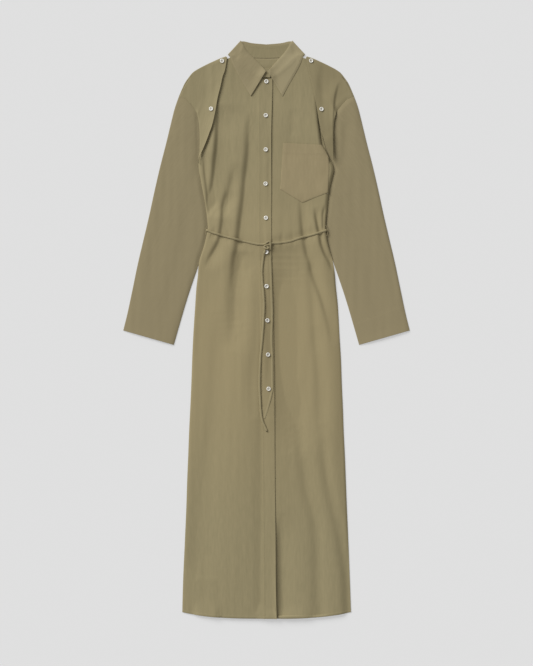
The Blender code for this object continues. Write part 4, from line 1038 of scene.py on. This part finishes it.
def strand_mesh(name, path, width, height, seed, ends=(1.0, 1.0)):
    """A pressed tube round a path: rounder on top than below, and a little uneven in width."""
    toward = np.gradient(path, axis=0)
    toward /= np.linalg.norm(toward, axis=1)[:, None]
    wide = np.cross(toward, (0, 0, 1.0))
    wide /= np.linalg.norm(wide, axis=1)[:, None]
    high = np.cross(wide, toward)
    dice = np.random.default_rng(seed)
    along = np.arange(len(path)) * STRAND_STEP
    uneven = sum(
        np.sin(2 * math.pi * along / dice.uniform(9, 45) / MM + dice.uniform(0, 6.28)) for _ in range(5)
    )
    swell = 1 + STRAND_SWELL * uneven
    at_end = np.minimum(np.arange(len(path)), 2) / 2
    swell *= (ends[0] + (1 - ends[0]) * at_end) * (ends[1] + (1 - ends[1]) * at_end[::-1])
    turn = np.linspace(0, 2 * math.pi, STRAND_SIDES, endpoint=False)
    out = np.sign(np.cos(turn)) * np.abs(np.cos(turn)) ** 0.85 * width / 2
    up = np.sign(np.sin(turn)) * np.abs(np.sin(turn)) ** 0.75 * height / 2
    rings = path[:, None] + wide[:, None] * (out * swell[:, None])[..., None] + high[:, None] * up[:, None]
    count = len(path)
    number = np.arange(count * STRAND_SIDES).reshape(count, STRAND_SIDES)
    number = np.concatenate([number, number[:, :1]], axis=1)
    caps = [number[0, :-1].tolist(), number[-1, :-1][::-1].tolist()]
    faces = corners_of(number).reshape(-1, 4).tolist() + caps
    around = np.linspace(0, width * 2.4, STRAND_SIDES + 1)
    grain = np.dstack(np.broadcast_arrays(around[None], along[:, None]))
    grain = np.concatenate([corners_of(grain).reshape(-1, 2), np.zeros((2 * STRAND_SIDES, 2))])
    return cloth_mesh(name, rings, faces, grain, belt_cloth)


def belt_piece(name, data):
    """A part of the belt, in place of the node of its name."""
    return in_place(linked(name, data), "belt_cloth", name)


belt_rest = bridged(BODY_TOP, steepest=0.25, reach=8 * MM, passes=3)


def lying(points, rest=belt_rest, sunk=BELT_SUNK):
    """The middle line of a strand through flat points, in mm, on what it lies on."""
    flat = evenly(np.array(points, float) * MM, STRAND_STEP)
    return np.column_stack([flat, read(rest, flat) + BELT_HEIGHT / 2 - sunk])


left_run, right_run = lying(BELT_LEFT_RUN), lying(BELT_RIGHT_RUN)
turns = []
for run, back_end, side in ((left_run, belt_behind[0], 1), (right_run, belt_behind[-1], -1)):
    x, y = side * BELT_SIDE[0] * MM, BELT_SIDE[1] * MM
    high, low = run[-1, 2] - TURN_DROP, back_end[2]
    inner, outer = x - side * TURN_OUT, x + side * TURN_OUT
    turns.append([(inner, y, high), (outer, y, (high + low) / 2), (inner, y, low)])
waist = np.concatenate([left_run[:-2], turns[0], belt_behind[2:-2], turns[1][::-1], right_run[:-2][::-1]])
waist_length = np.linalg.norm(np.diff(waist, axis=0), axis=1).sum()
waist = sampled(waist, np.linspace(0, 1, round(waist_length / STRAND_STEP) + 1))
belt = belt_piece("belt_waist", strand_mesh("belt_waist", waist, BELT_WIDTH, BELT_HEIGHT, 51))


def in_knot(table):
    """A strand of the knot: its points' heights are above the cloth there."""
    points = np.array(table) * MM
    points[:, 2] += read(belt_rest, points)
    return evenly(points, KNOT_STEP)


strands = [
    strand_mesh("strand", in_knot(table), KNOT_WIDTH, KNOT_HEIGHT, seed, (0.8, 0.8))
    for table, seed in ((OVER_KNOT, 52), (UNDER_KNOT, 53))
]
shape = bmesh.new()
for strand in strands:
    shape.from_mesh(strand)
knot_data = mesh_of(shape, "belt_knot")
knot_data.materials.append(belt_cloth)
knot_data.shade_smooth()
knot = belt_piece("belt_knot", knot_data)

# ---------------------------------------------------------------------------
# The shell buttons: ten on the button strip and two on each shoulder panel. Each is turned
# from shell with a raised rim and a dished middle, and has four holes for its thread.
FIRST_BUTTON = (-0.3, 595)
BUTTON_PITCH = 81.9
BUTTON_DRIFT = [0, -1.5, -1.5, -1.9, -1.0, 0.5, 0.5, 2.4, 3.8, 5.3]  # from a plumb line
PANEL_BUTTONS = [(-106.5, 644), (-132.7, 529), (107.0, 644.5), (131.8, 528)]
BUTTON_WIDTH, BUTTON_HEIGHT = 10.1 * MM, 2.0 * MM
BUTTON_PROFILE = [  # shares of half the width, and of the height
    (0, 0.40), (0.30, 0.40), (0.44, 0.44), (0.56, 0.62), (0.66, 0.88), (0.76, 1.0), (0.86, 0.99),
    (0.95, 0.86), (1.0, 0.62), (0.98, 0.36), (0.88, 0.12), (0.70, 0.0), (0, 0.0),
]
HOLE_WIDTH, HOLE_PLACE = 1.9 * MM, 1.4 * MM
BUTTON_SIDES = 40
SIXTH, SIXTH_LEAN = 5, (-0.30, 0.18, 1.0)  # the sixth is tipped by the tail that lies on it


def shell(name):
    """Polished shell: milky, with slow clouds and fine growth lines, and a soft gloss on top."""
    values = {"Roughness": 0.28, "IOR": 1.53, "Coat Weight": 0.3, "Coat Roughness": 0.12}
    made, tree, shader = finish_material(name, values)
    place = {"Vector": add_node(tree, "ShaderNodeTexCoord").outputs["Object"]}
    clouds = add_node(tree, "ShaderNodeTexNoise", {"Scale": 160.0, "Detail": 2.0}, place)
    lines = add_node(tree, "ShaderNodeTexWave", {"Scale": 300.0, "Distortion": 6.0, "Detail": 2.0}, place)
    factors = {0: lines.outputs["Fac"], 2: clouds.outputs["Fac"]}
    both = add_node(tree, "ShaderNodeMath", {"operation": "MULTIPLY_ADD", 1: 0.25}, factors)
    tones = {"data_type": "RGBA", 6: linear("#dcd9cf"), 7: linear("#f1efe8")}
    tone = add_node(tree, "ShaderNodeMix", tones, {0: both.outputs[0]})
    tree.links.new(tone.outputs[2], shader.inputs["Base Color"])
    return made


def turned_button():
    """One button's mesh, round the Z axis with its underside at zero."""
    shape = bmesh.new()
    rings = []
    for share, height in BUTTON_PROFILE:
        radius, z = share * BUTTON_WIDTH / 2, height * BUTTON_HEIGHT
        turn = 2 * math.pi * np.arange(BUTTON_SIDES if radius else 1) / BUTTON_SIDES
        rings.append([shape.verts.new((radius * math.cos(t), radius * math.sin(t), z)) for t in turn])
    for upper, lower in zip(rings, rings[1:]):
        for i in range(BUTTON_SIDES):
            j = (i + 1) % BUTTON_SIDES
            corners = [(upper, i), (lower, i), (lower, j), (upper, j)]
            corners = [ring[k % len(ring)] for ring, k in corners]
            shape.faces.new(list(dict.fromkeys(corners)))
    bmesh.ops.recalc_face_normals(shape, faces=shape.faces)
    button = linked("button", mesh_of(shape, "button"))
    shape = bmesh.new()
    half = HOLE_WIDTH / 2
    for dx in (-1, 1):
        for dy in (-1, 1):
            made = bmesh.ops.create_cone(
                shape, cap_ends=True, segments=12, radius1=half, radius2=half, depth=3 * BUTTON_HEIGHT
            )
            bmesh.ops.translate(shape, verts=made["verts"], vec=(dx * HOLE_PLACE, dy * HOLE_PLACE, 0))
    drill = linked("drills", mesh_of(shape, "drills"))
    holes = button.modifiers.new("holes", "BOOLEAN")
    holes.operation = "DIFFERENCE"
    holes.solver = "EXACT"
    holes.object = drill
    drilled = bpy.data.meshes.new_from_object(button.evaluated_get(bpy.context.evaluated_depsgraph_get()))
    for thing in (button, drill):
        bpy.data.objects.remove(thing)
    drilled.shade_smooth()
    drilled.set_sharp_from_angle(angle=math.radians(40))
    return drilled


def geometry_tree(name, inputs):
    """A node tree with these inputs after its geometry, their sockets' names, and its input node."""
    tree = bpy.data.node_groups.new(name, "GeometryNodeTree")
    sockets = {}
    for label, kind in {"Geometry": "Geometry", **inputs}.items():
        socket = tree.interface.new_socket(label, in_out="INPUT", socket_type=f"NodeSocket{kind}")
        sockets[label] = socket.identifier
    tree.interface.new_socket("Geometry", in_out="OUTPUT", socket_type="NodeSocketGeometry")
    return tree, sockets, add_node(tree, "NodeGroupInput")


def on_points(name, source, places, leans, tree_name, look, spin, seed):
    """One object on each place, leaning with the cloth there and turned by a random angle."""
    inputs = {"piece": "Object", "turn": "Float", "seed": "Int", "finish": "Material"}
    tree, sockets, given = geometry_tree(tree_name, inputs)
    lean = add_node(tree, "GeometryNodeInputNamedAttribute", {"data_type": "FLOAT_VECTOR", "Name": "lean"})
    lean = {"Vector": lean.outputs["Attribute"]}
    upright = add_node(tree, "FunctionNodeAlignRotationToVector", {"axis": "Z"}, lean)
    seeds = {"Seed": given.outputs["seed"]}
    chance = add_node(tree, "FunctionNodeRandomValue", {"data_type": "FLOAT"}, seeds)
    tree.links.new(given.outputs["turn"], chance.inputs[3])
    turn = add_node(tree, "ShaderNodeCombineXYZ", links={2: chance.outputs[1]})
    rotations = {0: upright.outputs[0], 1: turn.outputs[0]}
    turned = add_node(tree, "FunctionNodeRotateRotation", {"rotation_space": "LOCAL"}, rotations)
    one = add_node(tree, "GeometryNodeObjectInfo", {"As Instance": True}, {"Object": given.outputs["piece"]})
    points = add_node(tree, "GeometryNodeMeshToPoints", links={"Mesh": given.outputs["Geometry"]})
    instances = {
        "Points": points.outputs["Points"],
        "Instance": one.outputs["Geometry"],
        "Rotation": turned.outputs[0],
    }
    placed = add_node(tree, "GeometryNodeInstanceOnPoints", links=instances)
    real = add_node(tree, "GeometryNodeRealizeInstances", links={0: placed.outputs[0]})
    faces = {0: real.outputs[0], "Material": given.outputs["finish"]}
    finish = add_node(tree, "GeometryNodeSetMaterial", links=faces)
    add_node(tree, "NodeGroupOutput", links={0: finish.outputs[0]})
    data = bpy.data.meshes.new(name)
    data.from_pydata([tuple(place) for place in places], [], [])
    lean = data.attributes.new("lean", "FLOAT_VECTOR", "POINT")
    lean.data.foreach_set("vector", np.array(leans, np.float32).ravel())
    values = {"piece": source, "turn": spin, "seed": seed, "finish": look}
    return evaluated(name, data, tree, sockets, values)


def evaluated(name, data, tree, sockets, values):
    """The plain mesh object that a node tree makes of data."""
    made = linked(name, data)
    modifier = made.modifiers.new("made", "NODES")
    modifier.node_group = tree
    for label, value in values.items():
        modifier[sockets[label]] = value
    result = bpy.data.meshes.new_from_object(made.evaluated_get(bpy.context.evaluated_depsgraph_get()))
    made.modifiers.remove(modifier)
    result.name = name
    made.data = result
    return made


def seated(spots, over, clear=0.1 * MM):
    """Where a button lies on the cloth at each flat spot, in mm, and how it leans."""
    surface = np.max([tops[piece] for piece in over], axis=0)
    ring = np.array([(math.cos(t), math.sin(t)) for t in np.linspace(0, 2 * math.pi, 13)[:-1]])
    ring = np.concatenate([[(0, 0)], 0.5 * ring, ring]) * BUTTON_WIDTH / 2
    places, leans = [], []
    for x, y in np.array(spots) * MM:
        z = read(surface, ring + (x, y))
        on_cloth = ring[z > -MM]
        z = z[z > -MM]
        slope = np.linalg.lstsq(np.column_stack([on_cloth, np.ones(len(z))]), z, rcond=None)[0]
        places.append((x, y, (z - on_cloth @ slope[:2]).max() + clear))
        leans.append((-slope[0], -slope[1], 1.0))
    return places, leans


x, y = FIRST_BUTTON
front_spots = [(x + drift, y - i * BUTTON_PITCH) for i, drift in enumerate(BUTTON_DRIFT)]
on_strip = seated(front_spots, ["placket"])
on_strip[1][SIXTH] = SIXTH_LEAN
on_panels = seated(PANEL_BUTTONS, ["panel_right", "panel_left"])
shell_look = shell("polished_shell")
one_button = linked("one_button", turned_button())
buttons = []
for name, where, tree_name, seed in (
    ("front_buttons", on_strip, "buttons_on_strip", 7),
    ("panel_buttons", on_panels, "buttons_on_panels", 9),
):
    buttons.append(on_points(name, one_button, *where, tree_name, shell_look, math.pi, seed))
bpy.data.objects.remove(one_button)
in_place(buttons[0], "shell_button", *(f"button_front_{i:02d}" for i in range(1, 11)))
panel_nodes = [f"button_panel_{hand}_{place}" for hand in ("right", "left") for place in ("neck", "chest")]
in_place(buttons[1], "shell_button", *panel_nodes)

# ---------------------------------------------------------------------------
# The belt's two tails. They come from the knot, and the long one goes over the sixth button.
SHORT_TAIL_HEIGHT = 0.5 * BELT_HEIGHT  # it is pressed flatter
TAIL_ENDS = (0.9, 0.75)  # how narrow each end is, as a share of the width
x, y, z = on_strip[0][SIXTH]
near = np.hypot(EAST[:, None] - x, NORTH[None] - y) < BUTTON_WIDTH / 2
tops["sixth_button"] = np.where(near, z + 0.8 * BUTTON_HEIGHT, -1.0)
tail_rest = bridged([*BODY_TOP, "sixth_button"], steepest=0.45, reach=8 * MM, passes=3)
for name, table, rest, sunk, height, seed in (
    ("belt_tail_long", LONG_TAIL, tail_rest, LONG_TAIL_SUNK, BELT_HEIGHT, 54),
    ("belt_tail_short", SHORT_TAIL, belt_rest, BELT_SUNK, SHORT_TAIL_HEIGHT, 55),
):
    path = lying(table, rest, sunk)
    path[:, 2] -= (BELT_HEIGHT - height) / 2
    tail = belt_piece(name, strand_mesh(name, path, BELT_WIDTH, height, seed, TAIL_ENDS))

# ---------------------------------------------------------------------------
# The belt loops: a few strands of sewing thread, worked over into a thin cord, at each side seam.
BELT_LOOP = [  # out, height
    (-1.5, 250), (1.2, 249.5), (3.2, 246), (4.4, 239), (3.6, 231), (1.6, 226), (-1, 225),
]
LOOP_WIDTH, LOOP_STEP = 1.1 * MM, 0.7 * MM
for name, side, seam, turn in (
    ("belt_loop_left", 1, right_side, turns[0]),
    ("belt_loop_right", -1, left_side, turns[1]),
):
    bends = [(seam(y * MM) + side * out * MM, y * MM, turn[1][2]) for out, y in BELT_LOOP]
    belt_piece(name, strand_mesh(name, evenly(np.array(bends), LOOP_STEP), LOOP_WIDTH, LOOP_WIDTH, 56))

# ---------------------------------------------------------------------------
# The sewing: cotton thread in the cloth's own colour, in lines of small lockstitches that lie
# slightly sunk in the cloth, and a worked buttonhole under each button of the strip.
STITCH_PITCH, STITCH_LENGTH, THREAD_WIDTH = 3.2 * MM, 2.5 * MM, 0.55 * MM
THREAD_SUNK = 0.1 * MM
LINE_POINTS = 80
# How far in from an edge each line of stitches runs.
STRIP_INSET, POCKET_INSET, STAND_INSET = 2.2 * MM, 1.8 * MM, 6 * MM
SEAM_INSET, FREE_EDGE_INSET = 2 * MM, 5 * MM
POCKET_DEPTH = 140 * MM


def spun_thread(name, colour):
    """Matt spun cotton thread, with the twist of its strands."""
    made, tree, shader = finish_material(name, {"Base Color": linear(colour), "Roughness": 0.75})
    place = {"Vector": add_node(tree, "ShaderNodeTexCoord").outputs["Object"]}
    twist = add_node(tree, "ShaderNodeTexWave", {"Scale": 900.0, "Distortion": 1.0}, place)
    bumped(tree, shader, twist.outputs["Fac"], 0.4, 0.1 * MM)
    return made


thread_look = spun_thread("spun_cotton_thread", "#8a7f60")


def on_grid(grid, rows, columns, lift):
    """Points on the upper face of a grid, at fractional rows and columns."""
    rows = np.clip(rows, 0, grid.shape[0] - 1.001)
    columns = np.clip(columns, 0, grid.shape[1] - 1.001)
    i, j = rows.astype(int), columns.astype(int)
    u, v = (rows - i)[:, None], (columns - j)[:, None]
    near = grid[i, j] * (1 - v) + grid[i, j + 1] * v
    far = grid[i + 1, j] * (1 - v) + grid[i + 1, j + 1] * v
    return near * (1 - u) + far * u + (0, 0, lift)


def along_column(grid, inset, rows, thickness=CLOTH):
    """A line this far in from the first column (or the last, if it is less than 0), over these rows."""
    rows = np.linspace(*rows, LINE_POINTS) * (len(grid) - 1)
    steps = np.linalg.norm(grid[:, -1] - grid[:, 0], axis=1) / (grid.shape[1] - 1)
    columns = abs(inset) / np.interp(rows, np.arange(len(grid)), steps)
    columns = columns if inset > 0 else grid.shape[1] - 1 - columns
    return on_grid(grid, rows, columns, thickness / 2 - THREAD_SUNK)


def along_row(grid, row, columns=(0, 1), thickness=CLOTH):
    """A line along a fractional row, over these columns."""
    columns = np.linspace(*columns, LINE_POINTS) * (grid.shape[1] - 1)
    return on_grid(grid, np.full(len(columns), float(row)), columns, thickness / 2 - THREAD_SUNK)


hem_row = float(np.interp(HEM_BAND, HEM_ROWS - HEM_Y, np.arange(len(HEM_ROWS))))
lines = [
    along_row(left_front_grid, hem_row, (0.16, 1)),
    along_row(right_front_grid, hem_row),
    along_row(strip_grid, hem_row, thickness=STRIP_CLOTH),
    along_column(strip_grid, STRIP_INSET, (0, 0.97), STRIP_CLOTH),
    along_column(strip_grid, -STRIP_INSET, (0, 0.97), STRIP_CLOTH),
]
for hand in ("right", "left"):
    sleeve = uppers[f"sleeve_{hand}"]
    down = np.linalg.norm(np.diff(sleeve[:, 0], axis=0), axis=1)
    cuff = len(sleeve) - 1 - CUFF_HEM / down[-1]
    lines.append(along_row(sleeve, cuff, (0.01, 0.99)))
    panel = uppers[f"panel_{hand}"]
    lines.append(along_column(panel, FREE_EDGE_INSET, (0.03, 0.97)))
    lines.append(along_column(panel, -SEAM_INSET, (0.02, 0.27)))
mouth = POCKET_HEM / POCKET_DEPTH * (POCKET_ROWS - 1)
lines += [
    along_column(pocket_grid, POCKET_INSET, (0, 1)),
    along_column(pocket_grid, -POCKET_INSET, (0, 1)),
    along_row(pocket_grid, POCKET_ROWS - 1.8, (0.015, 0.985)),
    along_row(pocket_grid, mouth, (0.015, 0.985)),
    along_column(stand_behind, STAND_INSET, (0.02, 0.98), STAND_CLOTH),
    along_column(stand_behind, -SEAM_INSET, (0.02, 0.98), STAND_CLOTH),
]
for leaf in (left_leaf, right_leaf):
    front = np.linalg.norm(leaf[1, LEAF_COLUMNS // 2] - leaf[0, LEAF_COLUMNS // 2])
    row = FREE_EDGE_INSET / front
    lines.append(along_row(leaf, row, (0.12, 0.86), COLLAR_CLOTH))
    lines.append(along_column(leaf, -FREE_EDGE_INSET, (row / LEAF_ROWS, 0.97), COLLAR_CLOTH))

inputs = {"pitch": "Float", "length": "Float", "width": "Float", "thread": "Material"}
tree, sockets, given = geometry_tree("lines_of_stitches", inputs)
seams = add_node(tree, "GeometryNodeMeshToCurve", links={"Mesh": given.outputs["Geometry"]})
spacing = {"Curve": seams.outputs[0], "Length": given.outputs["pitch"]}
spaced = add_node(tree, "GeometryNodeResampleCurve", {"mode": "LENGTH"}, spacing)
toward = add_node(tree, "GeometryNodeInputTangent")
turned = add_node(tree, "FunctionNodeAlignRotationToVector", {"axis": "Z"}, {"Vector": toward.outputs[0]})
stitch = add_node(tree, "GeometryNodeMeshUVSphere", {"Segments": 6, "Rings": 4, "Radius": 0.5})
sides = {0: given.outputs["width"], 1: given.outputs["width"], 2: given.outputs["length"]}
size = add_node(tree, "ShaderNodeCombineXYZ", links=sides)
instances = {
    "Points": spaced.outputs[0],
    "Instance": stitch.outputs["Mesh"],
    "Rotation": turned.outputs[0],
    "Scale": size.outputs[0],
}
placed = add_node(tree, "GeometryNodeInstanceOnPoints", links=instances)
real = add_node(tree, "GeometryNodeRealizeInstances", links={0: placed.outputs[0]})
soft = add_node(tree, "GeometryNodeSetShadeSmooth", links={0: real.outputs[0]})
faces = {0: soft.outputs[0], "Material": given.outputs["thread"]}
finish = add_node(tree, "GeometryNodeSetMaterial", links=faces)
add_node(tree, "NodeGroupOutput", links={0: finish.outputs[0]})

points, edges = [], []
for line in lines:
    edges += [(len(points) + i, len(points) + i + 1) for i in range(len(line) - 1)]
    points += line.tolist()
data = bpy.data.meshes.new("topstitching")
data.from_pydata(points, edges, [])
values = {"pitch": STITCH_PITCH, "length": STITCH_LENGTH, "width": THREAD_WIDTH, "thread": thread_look}
topstitching = evaluated("topstitching", data, tree, sockets, values)

# Each buttonhole is a ring of worked thread round a slit, and each button is held by two
# pairs of strands through its holes.
HOLE_LENGTH, HOLE_SPREAD, HOLE_THREAD = 14.5 * MM, 1.5 * MM, 0.8 * MM
HOLE_STEPS, TUBE_SIDES, TUBE_FLATNESS = 40, 6, 0.7
STRAND_SIZE, STRAND_PLACE = (0.9 * MM, 3.4 * MM, 0.9 * MM), 0.66 * BUTTON_HEIGHT
shape = bmesh.new()
tube = []
for i, turn in enumerate(np.linspace(0, 2 * math.pi, HOLE_STEPS + 1)[:-1]):
    x = HOLE_SPREAD / 2 * np.sign(np.cos(turn)) * np.abs(np.cos(turn)) ** 0.6
    y = HOLE_LENGTH / 2 * np.sin(turn)
    out = np.array([math.cos(turn), 0.35 * math.sin(turn)])
    out /= np.linalg.norm(out)
    size = HOLE_THREAD / 2 * (1.0 if i % 2 else 0.86)
    ring = []
    for t in np.linspace(0, 2 * math.pi, TUBE_SIDES + 1)[:-1]:
        far = size * math.cos(t)
        ring.append(shape.verts.new((x + out[0] * far, y + out[1] * far, size * TUBE_FLATNESS * math.sin(t))))
    tube.append(ring)
for a, b in zip(tube, tube[1:] + tube[:1]):
    for k in range(TUBE_SIDES):
        after = (k + 1) % TUBE_SIDES
        shape.faces.new([a[k], a[after], b[after], b[k]])
bmesh.ops.recalc_face_normals(shape, faces=shape.faces)
one_buttonhole = linked("one_buttonhole", mesh_of(shape, "buttonhole"))

shape = bmesh.new()
for dx in (-1, 1):
    made = bmesh.ops.create_uvsphere(shape, u_segments=8, v_segments=6, radius=0.5)
    bmesh.ops.scale(shape, verts=made["verts"], vec=STRAND_SIZE)
    bmesh.ops.translate(shape, verts=made["verts"], vec=(dx * HOLE_PLACE, 0, STRAND_PLACE))
bmesh.ops.recalc_face_normals(shape, faces=shape.faces)
one_thread = linked("one_thread", mesh_of(shape, "button_thread"))
for source in (one_buttonhole, one_thread):
    source.data.shade_smooth()

in_place(topstitching, "cloth")
under_buttons = seated(front_spots, ["placket"], 0.0)
for name, source, where, tree_name, spin, seed in (
    ("buttonholes", one_buttonhole, under_buttons, "buttonholes_on_strip", 0.0, 7),
    ("front_button_threads", one_thread, on_strip, "threads_on_strip", math.pi, 7),
    ("panel_button_threads", one_thread, on_panels, "threads_on_panels", math.pi, 9),
):
    in_place(on_points(name, source, *where, tree_name, thread_look, spin, seed), "cloth")
for source in (one_buttonhole, one_thread):
    bpy.data.objects.remove(source)
